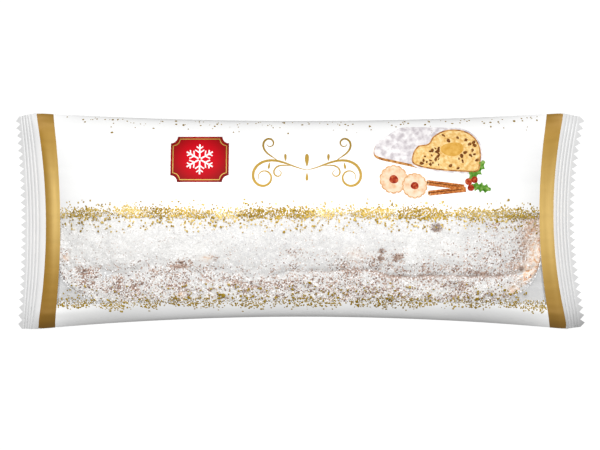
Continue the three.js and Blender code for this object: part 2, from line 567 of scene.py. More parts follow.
# %% Material for the white film
def make_white_film(name, darkest, lightest):
    material, tree = new_material(name)
    cloudy = ramp(tree, noise_at(tree, 30), (0.3, darkest), (0.7, lightest))
    fine = noise_at(tree, 2.5, stretch=(1, 0.35, 1))
    fine_bump = bump(tree, fine, strength=0.05, depth_mm=0.3)
    add_surface(tree, cloudy, roughness=0.38, IOR=1.49, Normal=fine_bump)
    return material


white_film = make_white_film("white_printed_polypropylene", "#f1f1f1", "#f8f8f7")
sealed_film = make_white_film("crimped_white_polypropylene", "#d0d0d0", "#d7d7d7")
print("made", white_film.name, "and", sealed_film.name)

# %% [markdown]
# ## Clear film
#
# Unprinted, the same film shows what is behind it and mirrors the lights a little. A
# Fresnel node shares the light between the two: about 2% is mirrored where the film faces
# the eye, and more towards the sides. Seen from inside, that node gives a full mirror
# at a slant, as thick glass would; a thin film has no such mirror, so its inner face is
# only clear. A light bump of long streaks stands for the drag lines of the wrapping machine.


# %% Material for the window
def make_clear_film():
    material, tree = new_material("clear_polypropylene")
    drawn_out = noise_at(tree, 2.2, stretch=(1, 0.07, 1))
    streaks = bump(tree, drawn_out, strength=0.25, depth_mm=0.4)
    fresnel = add_node(tree, "Fresnel", {"IOR": 1.3, "Normal": streaks})
    inner = add_node(tree, "NewGeometry").outputs["Backfacing"]
    share = calculate(tree, "MULTIPLY", fresnel, calculate(tree, "SUBTRACT", 1.0, inner))
    through = add_node(tree, "BsdfTransparent", {"Color": (1, 1, 1, 1)})
    mirror = add_node(tree, "BsdfGlossy", {"Roughness": 0.2, "Normal": streaks})
    mixed = add_node(tree, "MixShader", {0: share, 1: through, 2: mirror})
    add_node(tree, "OutputMaterial", {"Surface": mixed})
    return material


clear_film = make_clear_film()
print("made", clear_film.name)

# %% [markdown]
# ## Gold bands
#
# A band of gold ink runs all round the tube before each seal. Such ink is brown and yellow
# pigment with fine pearl flakes. Its light is painted into its colour. Painted shade makes it
# bronze towards both side folds, most at the front. The film also stores a painted highlight,
# a soft spot with a brighter crest on each band, by which the ink goes from bronze to pale
# gold. Long faint streaks run along the band, as the press drew the ink.

# %% Material for the gold bands
# The painted highlight on the gold bands: where its spot and crest lie, and how strong they are.
PAINTED_HIGHLIGHT_CENTRE = (9.0, 1.0)
PAINTED_HIGHLIGHT_BREADTH = (35.0, 39.0)
BAND_PAINTED_HIGHLIGHT = 0.82
CREST_PLACE = (0.62, 0.3)
CREST_BREADTH = 0.18
CREST_PAINTED_HIGHLIGHT = 0.3
CREST_TURN = 0.3
TURN_REACH = (15, 55)
OUTER_FADE = (0.1, 0.6)
# Gold from the front of the band to its back, darker towards both side folds as painted shade.
GOLD_WITH_PAINTED_SHADE = (
    (0.0, "#7c5819"), (0.12, "#9e762b"), (0.3, "#b38730"), (0.55, "#bb9038"), (0.9, "#ae8431"),
    (1.0, "#936d24"),
)  # fmt: skip


def band_painted_highlight(u, y):
    """A painted highlight on each band: a soft pale spot with a brighter crest. The left one
    fades outward.
    """
    inward = progress(np.abs(u), SEAL_LINE, BAND_START)
    crest = np.where(u < 0, *CREST_PLACE) - CREST_TURN * progress(y, *TURN_REACH)
    across = np.where(u < 0, progress(inward, *OUTER_FADE), 1) * BAND_PAINTED_HIGHLIGHT
    across = across + CREST_PAINTED_HIGHLIGHT * bell(inward, crest, CREST_BREADTH)
    return bell(y, np.where(u < 0, *PAINTED_HIGHLIGHT_CENTRE), np.where(u < 0, *PAINTED_HIGHLIGHT_BREADTH)) * across


def make_gold_band():
    material, tree = new_material("gold_band_ink_with_painted_light")
    y = add_node(tree, "SeparateXYZ", {0: own_place(tree)}).outputs["Y"]
    along = remap(tree, y, start=(-SEAL_HALF_WIDTH * MM, SEAL_HALF_WIDTH * MM))
    streaks = noise_at(tree, 2.6, detail=1.0, stretch=(1, 0.05, 1))
    uneven = remap(tree, streaks, to=(0.8, 1.15))
    # The stored painted highlight, broken up by the streaks, takes the ink towards pale gold.
    painted_highlight = calculate(tree, "MULTIPLY", stored(tree, "painted_highlight"), uneven)
    base = ramp(tree, along, *GOLD_WITH_PAINTED_SHADE)
    colour = blend_colours(tree, painted_highlight, base, linear("#fbd480"))
    rough = remap(tree, noise_at(tree, 0.8, detail=3.0), to=(0.38, 0.55))
    add_surface(tree, colour, rough, Metallic=0.2)
    return material


gold_band_ink_with_painted_light = make_gold_band()
print("made", gold_band_ink_with_painted_light.name)

# %% [markdown]
# ## Part the web
#
# The clear window becomes a piece of its own, because it shows what is behind it. Each
# face is sorted into a zone, and Separate by Selection cuts the window out along its
# edges. The gold bands are copies of the faces that they cover, lifted off the white film
# by the thickness of the ink. The film gets its thickness from a Solidify modifier that
# grows inward.

# %% Sort the faces into zones
WHITE, CLEAR, BAND = 0, 1, 2
FILM_THICKNESS = 0.12
INK_THICKNESS = 0.04
BAND_INK = 0.9 * INK_THICKNESS
MERGE_DISTANCE = 0.002


def sort_zones():
    corners = np.array([polygon.vertices[:] for polygon in web.data.polygons])
    u, v = web_u[corners].mean(axis=1), web_v[corners].mean(axis=1)
    y = v * half_width(u, v)
    top = web_on_top[corners].all(axis=1)
    window = top & (y < WINDOW_BACK) & (y > -window_front(u))
    zones = np.where(np.abs(u) > BAND_START, BAND, np.where(window, CLEAR, WHITE))
    zone = web.data.attributes.new("zone", "INT", "FACE")
    zone.data.foreach_set("value", zones)
    # The web's points keep the painted highlight of the gold bands.
    store(web, "painted_highlight", band_painted_highlight(web_u, web_v * half_width(web_u, web_v)))
    return [int((zones == kind).sum()) for kind in (WHITE, CLEAR, BAND)]


print("faces in the white, clear and band zones:", sort_zones())


# %% Cut the window out and copy the bands
def select_zone(piece, kind, side=0):
    """In edit mode, selects the faces of a zone, all or only those at x of one sign."""
    bpy.ops.mesh.select_all(action="DESELECT")
    mesh = bmesh.from_edit_mesh(piece.data)
    zone = mesh.faces.layers.int["zone"]
    for face in mesh.faces:
        if face[zone] == kind and face.calc_center_median().x * side >= 0:
            face.select_set(True)
    bmesh.update_edit_mesh(piece.data)


def separate_as(name):
    """Parts the selected faces from the web as a new piece."""
    bpy.ops.mesh.separate(type="SELECTED")
    made = [part for part in bpy.context.selected_objects if part is not web][0]
    made.name = name
    made.select_set(False)
    return made


def part_web():
    make_active(web)
    bpy.ops.object.mode_set(mode="EDIT")
    bpy.ops.mesh.select_mode(type="FACE")
    bpy.ops.mesh.select_all(action="SELECT")
    bpy.ops.mesh.remove_doubles(threshold=MERGE_DISTANCE * MM)
    bpy.ops.mesh.normals_make_consistent(inside=False)
    select_zone(web, CLEAR)
    window = separate_as("clear_film_window")
    bands = []
    for side, name in ((-1, "gold_band_left"), (1, "gold_band_right")):
        select_zone(web, BAND, side)
        bpy.ops.mesh.duplicate()
        bpy.ops.transform.shrink_fatten(value=INK_THICKNESS * MM)
        bands.append(separate_as(name))
    bpy.ops.object.mode_set(mode="OBJECT")
    web.name = "white_film_tube"
    return window, bands


window_film, gold_bands = part_web()
for piece in (web, window_film):
    thicken(piece, FILM_THICKNESS)
finish_piece(web, white_film)
finish_piece(window_film, clear_film)
for band in gold_bands:
    thicken(band, BAND_INK)
    finish_piece(band, gold_band_ink_with_painted_light)


# %% [markdown]
# ## End seals
#
# Hot jaws with ribs press top and bottom film together, and a saw blade parts one pack
# from the next, which leaves the zigzag edge. A seal is one crimped strip: a grid whose
# rows follow the ribs closely and whose last row zigzags. Solidify then makes it a sheet.
# A seal lies loose, so it waves a little and its front corners hang, one far more than the
# other. The jaws also draw the hot film out by a millimetre or two.

# %% Shape of a seal
SEAL_COLUMNS = 4 * TOOTH_COUNT
SEAL_SHEET = 0.5
SEAL_TUCK = 0.05
ROOT_ROWS, ROWS_PER_RIB = 5, 10
TOOTH_ROWS = np.array([0.25, 0.6, 1.0])
GROOVE_SHARPNESS = 0.55
SEAL_WAVE = (0.25, 7, 3.1)
SEAL_SLIDE, SLIDE_POWER = {-1: 1.3, 1: -1.1}, 8
SEAL_STRETCH = {-1: 0.0, 1: 2.9}
SEAL_LEAN = {-1: -0.4, 1: 0.75}
SEAL_FLARE = {-1: 2.5, 1: 1.7}
FLARE_POWER = {-1: 8, 1: 4}
SEAL_HANG, HANG_ONSET = {-1: 0.35, 1: 1.0}, 3
CORNER_CURL = {-1: 1.0, 1: 10.0}
CURL_START, CURL_POWER, CURL_RISE = 0.6, 2.3, 0.7
CORNER_RIBS = {-1: 0.7, 1: 1.6}
CORNER_RIBS_START = 0.5


def rib_relief(u):
    """Broad ridges with narrow grooves between them, one for each rib of the jaw."""
    s = (RIB_START - np.abs(u)) / RIB_PITCH
    ribbed = (s > 0) & (s < RIB_COUNT)
    ridge = np.abs(np.cos(math.pi * s)) ** GROOVE_SHARPNESS
    return np.where(ribbed, RIB_HEIGHT * (ridge - 1), 0)


def straight_rows():
    """u of a seal's rows from its root to the last rib."""
    ribs = RIB_START - RIB_PITCH * np.arange(RIB_COUNT * ROWS_PER_RIB + 1) / ROWS_PER_RIB
    root = np.linspace(SEAL_LINE - SEAL_TUCK, ribs[-1], ROOT_ROWS + 1)[:-1]
    return np.concatenate([root, ribs[::-1]])


def make_seal(side, name):
    """side is -1 for the left seal and 1 for the right one."""
    rows = straight_rows()
    last_row = len(rows) + len(TOOTH_ROWS) - 1
    seal, flat_x, flat_y = lay_grid(name, last_row, SEAL_COLUMNS)
    row, column = line_number(flat_x, last_row), line_number(flat_y, SEAL_COLUMNS)
    edge = blend(TOOTH_ROOT, TIP_LINE, np.abs((column + 2) % 4 - 2) / 2)
    to_edge = np.concatenate([np.zeros(len(rows)), TOOTH_ROWS])[row]
    straight = np.concatenate([rows, np.full(len(TOOTH_ROWS), RIB_START)])[row]
    u = side * blend(straight, edge, to_edge)
    v = 2 * column / SEAL_COLUMNS - 1
    outward = seal_share(u)
    pulled = SEAL_SLIDE[side] * (1 - (1 - outward) ** SLIDE_POWER)
    pulled = pulled + (SEAL_STRETCH[side] + SEAL_LEAN[side] * v) * outward
    x = plan_x(u, v) + side * pulled
    flare = SEAL_FLARE[side] * outward * np.clip(-v, 0, 1) ** FLARE_POWER[side]
    y = v * half_width(u, v) - flare
    height, quick, slow = SEAL_WAVE
    wavy = height * np.sin(quick * v + side) * np.sin(slow * v) * outward
    curl = CORNER_CURL[side] * outward**CURL_RISE * progress(-v, CURL_START, 1) ** CURL_POWER
    ribs = rib_relief(u) * (1 + CORNER_RIBS[side] * progress(-v, CORNER_RIBS_START, 1))
    hanging = edge_droop(u, v) * blend(1, SEAL_HANG[side], np.minimum(1, HANG_ONSET * outward))
    z = seal_z(u, v) + ribs + SEAL_SHEET / 2 + wavy - curl - hanging
    place_points(seal, np.column_stack([x, y, z]))
    if side < 0:
        flip_faces(seal)
    thicken(seal, SEAL_SHEET)
    finish_piece(seal, sealed_film)


make_seal(-1, "end_seal_left")
make_seal(1, "end_seal_right")

# %% [markdown]
# ## Back seam
#
# The long edges of the web are welded face to face, and the flap that stands out there is
# folded flat against the underside. It has fine ribs along it from the sealing wheels, and
# each end seal crimps its end. It is a grid again, laid along the base.

# %% Lay the back seam
SEAM_CELLS = (260, 48)
SEAM_RIBS = 6
SEAM_RIB_HEIGHT = 0.06
SEAM_END = 176.0
SEAM_SHEET = 0.34
SEAM_STEP = 1.5


def make_back_seam():
    seam, along, across = lay_grid("back_seam", *SEAM_CELLS)
    u, y = along * SEAM_END, across * FLAP_HALF_WIDTH
    v = y / half_width(u, np.sign(y))
    under_tube = base_z(u, v) - closing(u)
    under_seal = seal_z(u, v) + rib_relief(u) - SEAL_SHEET / 2 - SEAM_SHEET
    sealed = progress(np.abs(u), SEAL_LINE, SEAL_LINE + SEAM_STEP)
    ribs = SEAM_RIB_HEIGHT * (0.5 - 0.5 * np.cos(math.pi * SEAM_RIBS * across))
    z = blend(under_tube, under_seal, sealed) + ribs
    place_points(seam, np.column_stack([plan_x(u, v), y, z]))
    flip_faces(seam)
    thicken(seam, SEAM_SHEET)
    finish_piece(seam, white_film)


make_back_seam()

# %% [markdown]
# ## The loaf
#
# A stollen is a slab of rich yeast dough folded over itself before baking: one thick lobe
# lies on a thinner lip, and the crease between them runs the length of the loaf. Here it
# starts as a UV sphere with its poles at the two ends. Its rings are laid at even steps
# along the plan outline, which is a superellipse with fuller corners on the left, and its
# segments at even steps round the section, which follows the film above and below.

# %% Sizes of the loaf
LOAF_LENGTHS = (156.0, 152.4)
LOAF_CORNERS = (4.35, 4.2)
LOAF_HALF_WIDTH = 57.5
LOAF_MIDDLE = 15.0
SECTION_POWER = 8.0
END_POWER = 16.0
LOAF_RINGS = 290
LOAF_SEGMENTS = 260
FILM_CLEARANCE = 0.9
FILM_CONTACT = 0.35
BASE_CLEARANCE = 0.8
PLAN_POINTS, SECTION_POINTS = 6001, 8001


def even_steps(x, y, shares):
    """Points of a finely drawn curve at the given shares of its length."""
    walked = np.concatenate([[0], np.cumsum(np.hypot(np.diff(x), np.diff(y)))])
    at = shares * walked[-1]
    return np.interp(at, walked, x), np.interp(at, walked, y)


def squared(wave, power):
    """A sine or cosine made fuller, so that a circle becomes a superellipse."""
    return np.sign(wave) * np.abs(wave) ** (2 / power)


def loaf_plan(shares):
    """x and half-width of the plan outline, from the left tip to the right one."""
    angle = np.linspace(0, math.pi, PLAN_POINTS)
    reach, power = (
        np.where(angle > math.pi / 2, right, left) for left, right in (LOAF_LENGTHS, LOAF_CORNERS)
    )
    x = -reach * squared(np.cos(angle), power)
    return even_steps(x, LOAF_HALF_WIDTH * squared(np.sin(angle), power), shares)


def loaf_section(shares):
    """Shares of half-width and of height round a section, from its +Y side over the top."""
    angle = np.linspace(0, 2 * math.pi, SECTION_POINTS)
    across, up = squared(np.cos(angle), SECTION_POWER), squared(np.sin(angle), SECTION_POWER)
    y, z = even_steps(across * LOAF_HALF_WIDTH, up * LOAF_MIDDLE, shares)
    return y / LOAF_HALF_WIDTH, z / LOAF_MIDDLE


def station_of(x, v):
    """u of the film over a point at x: plan_x turned round, in two steps."""
    u = x + np.sign(x) * drawn_back(x, v)
    return x + np.sign(x) * drawn_back(u, v)


def web_place(x, y):
    v = np.clip(y / half_width(x, y), -1, 1)
    return station_of(x, v), v


def film_over(x, y):
    u, v = web_place(x, y)
    return top_z(u, v) + film_relief(u, v) - edge_droop(u, v)


def film_under(x, y):
    u, v = web_place(x, y)
    return base_z(u, v) - edge_droop(u, v)


print("the film stands", round(float(film_over(0.0, -20.0)), 1), "mm over the lobe")

# %% [markdown]
# Before the jaws close, two paddles tuck the sides of the tube in. So at a corner a fold of
# film lies close under the window, and past the loaf's end it shows as a light grey field.
# Its grey is the crimped film's finish, as painted shade for the pocket there.
# Each fold is a grid laid a few millimetres under the film, or halfway to the film below
# where the pack is thinner than that. The loaf hides its inner part.

# %% Tuck the corners in
TUCK_DEPTH = 3.5
TUCK_REACH = (118.0, 162.0)
TUCK_SPREAD = (0.3, 0.97)
TUCK_CELLS = 36


def make_tuck(side, name):
    tuck, flat_x, flat_y = lay_grid(name, TUCK_CELLS, TUCK_CELLS)
    x = side * blend(*TUCK_REACH, (flat_x + 1) / 2)
    v = -blend(*TUCK_SPREAD, (1 - flat_y) / 2)
    y = v * half_width(x, v)
    over = film_over(x, y)
    z = over - np.minimum(TUCK_DEPTH, (over - film_under(x, y)) / 2)
    place_points(tuck, np.column_stack([x, y, z]))
    if side < 0:
        flip_faces(tuck)
    thicken(tuck, FILM_THICKNESS)
    # The fold's grey, the crimped film's finish, is painted shade for the pocket beside the
    # loaf's end.
    finish_piece(tuck, sealed_film)


make_tuck(-1, "left_corner_tuck")
make_tuck(1, "right_corner_tuck")

# %% [markdown]
# The crease runs a little askew, wanders a few millimetres and turns up at the right end.
# The lobe's edge rolls down to it and the lip rises from it again. On the right half it is
# also pressed in as a narrow line; on the left sugar has filled it.

# %% Crease, lip and bumps
CREASE_Y = -32.8
CREASE_SKEW = -0.022
CREASE_WAVES = ((2.3, 96.0, 0.6), (1.3, 43.0, 2.1), (0.6, 17.0, 4.0))
WAVES_FADE = (-60, 60), (1.0, 0.35)
CREASE_RISE = 2.6
RISE_PLACE, RISE_SPREAD = 36.0, 18.0
CREASE_TURN = 11.0
CREASE_TURN_REACH = (118.0, 154.0)
CREASE_DEPTH = 2.4
CREASE_END = 14
ROLL_WIDTH = 6.0
LIP_REACH = 20.0
LIP_STEP = 1.5
LINE_DEPTH = 0.7
LINE_WIDTH = 1.1
LINE_REACH = (-10.0, 50.0)


def crease_y(x):
    waves = sum(
        height * np.sin(2 * math.pi * x / length + phase)
        for height, length, phase in CREASE_WAVES
    )
    turn = CREASE_TURN * progress(x, *CREASE_TURN_REACH) ** 2
    rise = CREASE_RISE * bell(x, RISE_PLACE, RISE_SPREAD)
    return CREASE_Y + CREASE_SKEW * x + waves * np.interp(x, *WAVES_FADE) + turn + rise


def lip_share(x, y):
    """1 on the lip and 0 on the lobe, with a soft step at the crease."""
    return 1 / (1 + np.exp((y - crease_y(x)) / LIP_STEP))


def line_share(x):
    return progress(x, *LINE_REACH)


def rolled_off(off):
    """The roll of the lobe's edge, 1 at the crease and less up the lobe."""
    return np.exp(-np.maximum(off, 0) / ROLL_WIDTH)


def crease_relief(x, y):
    """How far the loaf stands in from its full form, by the distance to the crease."""
    off = y - crease_y(x)
    shape = np.where(off > 0, rolled_off(off), progress(off, -LIP_REACH, 0))
    line = LINE_DEPTH * line_share(x) * bell(off, 0, LINE_WIDTH)
    fade = progress(np.abs(x), min(LOAF_LENGTHS), min(LOAF_LENGTHS) - CREASE_END)
    return -(CREASE_DEPTH * shape + line) * fade


RAISIN_COUNT = 54
RAISIN_OVAL = 1.25
RAISIN_ROUNDNESS = 0.7
RAISIN_RANGES = ((-140, 140), (-50, 45), (2.4, 4.2), (0.4, 1.1))  # x, y, radius, height
random.seed(5)
raisins = [[random.uniform(*ends) for ends in RAISIN_RANGES] for _ in range(RAISIN_COUNT)]
SHOWING_RAISINS = (
    (84.2, -4, 3.6, 1.1), (49.9, -18.5, 2.2, 0.9), (49.5, -23, 2, 0.8), (60.7, -22.7, 2.8, 0.5),
    (-5, -42, 2.4, 0.4), (138, -29.7, 2, 1.1), (119, -45, 3, 0.4), (99.5, -42, 2.6, 0.45),
    (107, -39.5, 2.2, 0.4),
)  # fmt: skip


def raisin_cover(x, y, chosen):
    """0 away from the chosen raisins, rising to each one's height over it."""
    cover = np.zeros_like(x)
    for raisin_x, raisin_y, radius, height in chosen:
        distance = np.hypot((x - raisin_x) / RAISIN_OVAL, y - raisin_y) / radius
        inside = np.clip(1 - distance**2, 0, 1)
        cover = np.maximum(cover, height * inside**RAISIN_ROUNDNESS)
    return cover


# %% Shape the sphere into the loaf
RELIEF_FULL = 0.4


def shape_loaf():
    deselect_all()
    bpy.ops.mesh.primitive_uv_sphere_add(
        segments=LOAF_SEGMENTS, ring_count=LOAF_RINGS, radius=1
    )
    loaf = bpy.context.object
    loaf.name = "stollen_loaf"
    ball_x, ball_y, ball_z = read_points(loaf).T
    ring = np.arccos(np.clip(ball_z, -1, 1)) / math.pi
    turn = np.mod(np.arctan2(ball_y, ball_x) / (2 * math.pi), 1)
    x, w = loaf_plan(1 - ring)
    across, up = loaf_section(turn)
    y = w * across
    outward = np.abs(x) / np.where(x < 0, *LOAF_LENGTHS)
    end = np.clip(1 - outward**END_POWER, 0, 1) ** (1 / END_POWER)
    middle = blend(LOAF_MIDDLE, SEAL_HEIGHT, outward**2)
    rise = film_over(x, y) - FILM_CLEARANCE - middle
    fall = middle - film_under(x, y) - BASE_CLEARANCE
    z = middle + np.where(up > 0, rise, fall) * up * end
    relief = crease_relief(x, y) + raisin_cover(x, y, [*raisins, *SHOWING_RAISINS])
    z = z + progress(up, 0, RELIEF_FULL) * relief
    place_points(loaf, np.column_stack([x, y, z]))
    return loaf


loaf = shape_loaf()
print("the loaf is", [round(side / MM, 1) for side in loaf.dimensions], "mm")

# %% [markdown]
# Baked dough is lumpy at several sizes. Displace modifiers push the surface along its
# normals by procedural clouds: broad swells, knobs of fruit and nuts, and the crumbly
# coat. Last, the film presses flat whatever would stand through it.

# %% Lumps
LUMPS = (("swells", 26.0, 1.2), ("knobs", 7.5, 1.0), ("coat", 2.4, 0.6))
UNDER_GAP, LEAST_HEIGHT = 0.5, 1
TOUCHING = 0.01


def add_lumps():
    for name, size, height in LUMPS:
        clouds = bpy.data.textures.new(name, "CLOUDS")
        clouds.noise_scale = size * MM
        clouds.noise_depth = 2
        apply_modifier(
            loaf, "DISPLACE", texture=clouds, strength=height * 2 * MM, mid_level=0.5
        )
    x, y, z = (read_points(loaf) / MM).T
    over = film_over(x, y) - FILM_CONTACT
    under = film_under(x, y) + UNDER_GAP
    z = np.clip(z, under, np.maximum(over, under + LEAST_HEIGHT))
    place_points(loaf, np.column_stack([x, y, z]))
    return int((z > over - TOUCHING).sum())


print("points pressed by the film:", add_lumps())

# %% [markdown]
# ## Crust and sugar
#
# The loaf is brushed with butter while hot and buried in icing sugar, which soaks in,
# dries and crumbles. So one surface shows two things: matt white sugar with soft grey
# hollows, and specks of taupe crust where it has rubbed off or never stuck. How much crust
# shows is a matter of place, so the mesh stores it: the crease, the lip below it, a few
# rubbed patches and the right end. In and near the crease the specks are partly painted
# shade. Four more attributes say where the crust is bare and peach-coloured, and where a raisin
# lies under the sugar. They also say where the sugar is whiter, as thick sugar and as painted
# light, and where painted shade lies along the line of the crease.

# %% Store where the crust shows
BARE_LOBE = 0.02
BARE_LIP = 0.27
# Less crust towards the lip's edge and on its right, partly as painted light where the lip curves
# down under the film.
EDGE_SUGAR_AND_PAINTED_LIGHT, RIGHT_SUGAR_AND_PAINTED_LIGHT = 0.8, 0.6
# Crust specks just under the crease line, as painted shade there.
PAINTED_SHADE_UNDER_LINE = 0.13
UNDER_LINE = (-4, 4)
# Crust on the crease line and on the lobe's roll above it: partly real, partly painted shade.
CRUST_AND_SHADE_ON_LINE = 0.6
CRUST_AND_SHADE_ON_ROLL = (0.18, 0.38)
# Whiter sugar on the lip towards its edge, partly as painted light there.
LIP_SUGAR_AND_PAINTED_LIGHT = (0.2, 1.0)
# Painted shade along the line of the crease, stored as seam.
CREASE_PAINTED_SHADE = 0.8
CREASE_PAINTED_SHADE_WIDTH = 0.8
TOP_HEIGHT = 20
# Each patch is x, y, half-length, half-width and strength.
RUBBED = (
    (-75, -27.5, 8, 3, 0.9), (-135, -32.5, 9, 4.5, 0.9), (-62, -31, 14, 3.5, 0.35),
    (-54, -22.7, 2.6, 1.3, 0.8), (-148.5, -22.7, 4, 6, 0.25), (-118, -30, 16, 4, 0.2),
    (-8, -29, 14, 4, 0.2), (28, -27.5, 8, 4, 0.45), (45, -27, 14, 5, 0.4),
    (-6, -19, 7, 2, 0.4), (60.7, -22.7, 4, 3.5, 0.5), (88, -30.5, 34, 4, 0.45),
    (112, -33, 16, 2.6, 0.6), (133, -30, 8, 2.6, 0.8), (114, -21, 24, 9, 0.32),
    (134, -25, 12, 7, 0.6), (121, -4, 5, 6, 0.45), (148, -3, 8, 12, 0.95),
    (-90, -42, 50, 8, 0.5), (140, -13, 8, 11, 0.6), (102, -41, 7, 3, 0.6),
    (47, -39, 4, 3, 0.6), (68, -43.5, 3, 4, 0.6), (-32, -42, 8, 4, 0.65),
    (-104, -41.5, 5, 3, 0.7),
)  # fmt: skip
WARM = (
    (148, -22, 5.5, 14, 1), (143, -33, 7, 7, 1), (135.5, -44, 5, 4, 0.9), (147, -6, 8, 12, 0.5),
    (-75, -46.2, 1.8, 1.8, 1), (-59.2, -23.3, 3, 1.8, 0.7), (-148.5, -23, 2.4, 1.6, 0.6),
    (34, -21, 6, 4, 0.25),
)  # fmt: skip
CLEAN = (
    (-147, -41, 6, 7, 0.9), (-131, -49, 9, 4, 0.8), (69, -17, 5, 11, 0.8), (93, -16, 14, 8, 0.7),
    (69, -41, 9, 5, 0.55), (118, -42.5, 16, 5.5, 0.75), (80, -44, 16, 4, 0.55),
    (-80, -18, 24, 6, 0.6),
)  # fmt: skip
# Whiter sugar: thick sugar, and painted light on the loaf's left end and front-left corner, which
# turn from the light.
THICK_SUGAR_AND_PAINTED_LIGHT = (
    (-120, -8, 45, 24, 0.55), (-148, -10, 10, 24, 0.9), (-144, -40, 9, 10, 1),
    (93, -16, 14, 8, 0.5), (69, -17, 5, 11, 0.9), (148, -30, 6, 12, 0.5),
    (-78, -19, 24, 8, 0.8), (117, -43, 16, 5.5, 1), (80, -44, 16, 4, 0.7),
)  # fmt: skip


def patches(x, y, chosen):
    """The strongest of some soft oval patches at each point."""
    amount = np.zeros_like(x)
    for patch_x, patch_y, length, width, strength in chosen:
        distance = ((x - patch_x) / length) ** 2 + ((y - patch_y) / width) ** 2
        amount = np.maximum(amount, strength * np.exp(-distance))
    return amount


def store_cover():
    x, y, z = (read_points(loaf) / MM).T
    off = y - crease_y(x)
    below, lined = lip_share(x, y), line_share(x)
    to_edge = progress(off, 0, -LIP_REACH)
    lip = BARE_LIP * (1 - EDGE_SUGAR_AND_PAINTED_LIGHT * to_edge**4) * (1 - RIGHT_SUGAR_AND_PAINTED_LIGHT * lined * to_edge)
    lip = below * (lip + PAINTED_SHADE_UNDER_LINE * bell(off, *UNDER_LINE))
    roll = blend(*CRUST_AND_SHADE_ON_ROLL, lined) * rolled_off(off)
    line = CRUST_AND_SHADE_ON_LINE * lined * bell(off, 0, LINE_WIDTH)
    bare = BARE_LOBE + np.maximum.reduce([lip, roll, line, patches(x, y, RUBBED)])
    bare = bare * (1 - patches(x, y, CLEAN))
    raisin = raisin_cover(x, y, SHOWING_RAISINS) * (z > TOP_HEIGHT)
    store(loaf, "bare", np.clip(bare, 0, 1))
    store(loaf, "warm", patches(x, y, WARM) * np.clip(1 - raisin, 0, 1))
    store(loaf, "sugar_and_painted_light", np.maximum(patches(x, y, THICK_SUGAR_AND_PAINTED_LIGHT), below * blend(*LIP_SUGAR_AND_PAINTED_LIGHT, to_edge**2)))
    # seam holds the painted shade along the crease line.
    store(loaf, "seam", CREASE_PAINTED_SHADE * lined * bell(off, 0, CREASE_PAINTED_SHADE_WIDTH))
    store(loaf, "raisin", raisin)
    return round(float(bare.mean()), 2)


print("mean bareness:", store_cover())

# %% [markdown]
# Real sugar grains are a tenth of a millimetre wide, too fine to show, so the specks are
# drawn about 0.7 mm wide. Voronoi cells give them: each cell holds random numbers, and the
# cells whose number is under the bareness at their place show crust.

# %% Material for the crust under its sugar
SPECK_SIZE = 0.74


def make_sugared_crust():
    material, tree = new_material("baked_crust_under_icing_sugar")
    grains = noise_at(tree, 0.9)
    clumps, clouds = (noise_at(tree, size, detail=3.0) for size in (2.2, 9))
    names = ("bare", "warm", "sugar_and_painted_light", "raisin", "seam")
    bare, warm, sugar_and_painted_light, raisin, seam = (stored(tree, name) for name in names)
    inputs = {"Vector": own_place(tree), "Scale": 1 / (SPECK_SIZE * MM)}
    cells = add_node(tree, "TexVoronoi", inputs).outputs["Color"]
    chance = add_node(tree, "SeparateColor", {0: cells}).outputs
    uneven = multiply_add(tree, clouds, 4.0, multiply_add(tree, clumps, 2.4, -3.2))
    density = calculate(tree, "ADD", multiply_add(tree, bare, uneven, bare), raisin)
    nearness = calculate(tree, "SUBTRACT", density, chance[0])
    cover = remap(tree, nearness, start=(-0.04, 0.07))
    mottling = multiply_add(tree, clumps, 0.4, multiply_add(tree, clouds, 0.2, -0.2))
    mottling = multiply_add(tree, grains, 0.8, mottling)
    # Whiter where the sugar is thick, and where light is painted on.
    mottling = multiply_add(tree, sugar_and_painted_light, 0.2, mottling)
    sugar_stops = (0.34, "#cfcecf"), (0.5, "#dddcda"), (0.66, "#e7e6e4"), (0.84, "#f8f7f5")
    sugar = ramp(tree, mottling, *sugar_stops)
    brown = ramp(tree, chance[1], (0.0, "#6c5347"), (0.35, "#9b8072"), (0.9, "#d0b8aa"))
    peach = ramp(tree, clumps, (0.34, "#dd9a66"), (0.44, "#f1cba8"), (0.54, "#fbeee2"))
    colour = blend_colours(tree, cover, sugar, brown)
    shade = calculate(tree, "MULTIPLY", raisin, 0.55)
    colour = blend_colours(tree, shade, colour, linear("#5c504a"))
    # Painted shade in taupe grey along the crease line.
    colour = blend_colours(tree, seam, colour, linear("#b9a397"))
    colour = blend_colours(tree, warm, colour, peach)
    grit = calculate(tree, "ADD", grains, clumps)
    bumps = bump(tree, grit, strength=0.25, depth_mm=0.5)
    add_surface(tree, colour, roughness=0.9, IOR=1.45, Specular_IOR_Level=0.2, Normal=bumps)
    return material


finish_piece(loaf, make_sugared_crust())

# %% [markdown]
# ## Gold glitter
#
# The edges of the clear window are printed as drifts of gold specks, which hide the line
# where the white ink ends. Each speck is a tiny six-sided chip laid on the film. They
# gather in clusters, as a brush spatters them, and each cluster is a paler or a darker
# gold. Thousands of copies are made at once by arithmetic on arrays: one template chip is
# turned to the film's normal, sized and moved, and all copies are joined in one mesh.

# %% Chips and how they are scattered
CHIP_THICKNESS = 0.05
CHIP_SIDES = 6
CHIP_TOP = 0.9


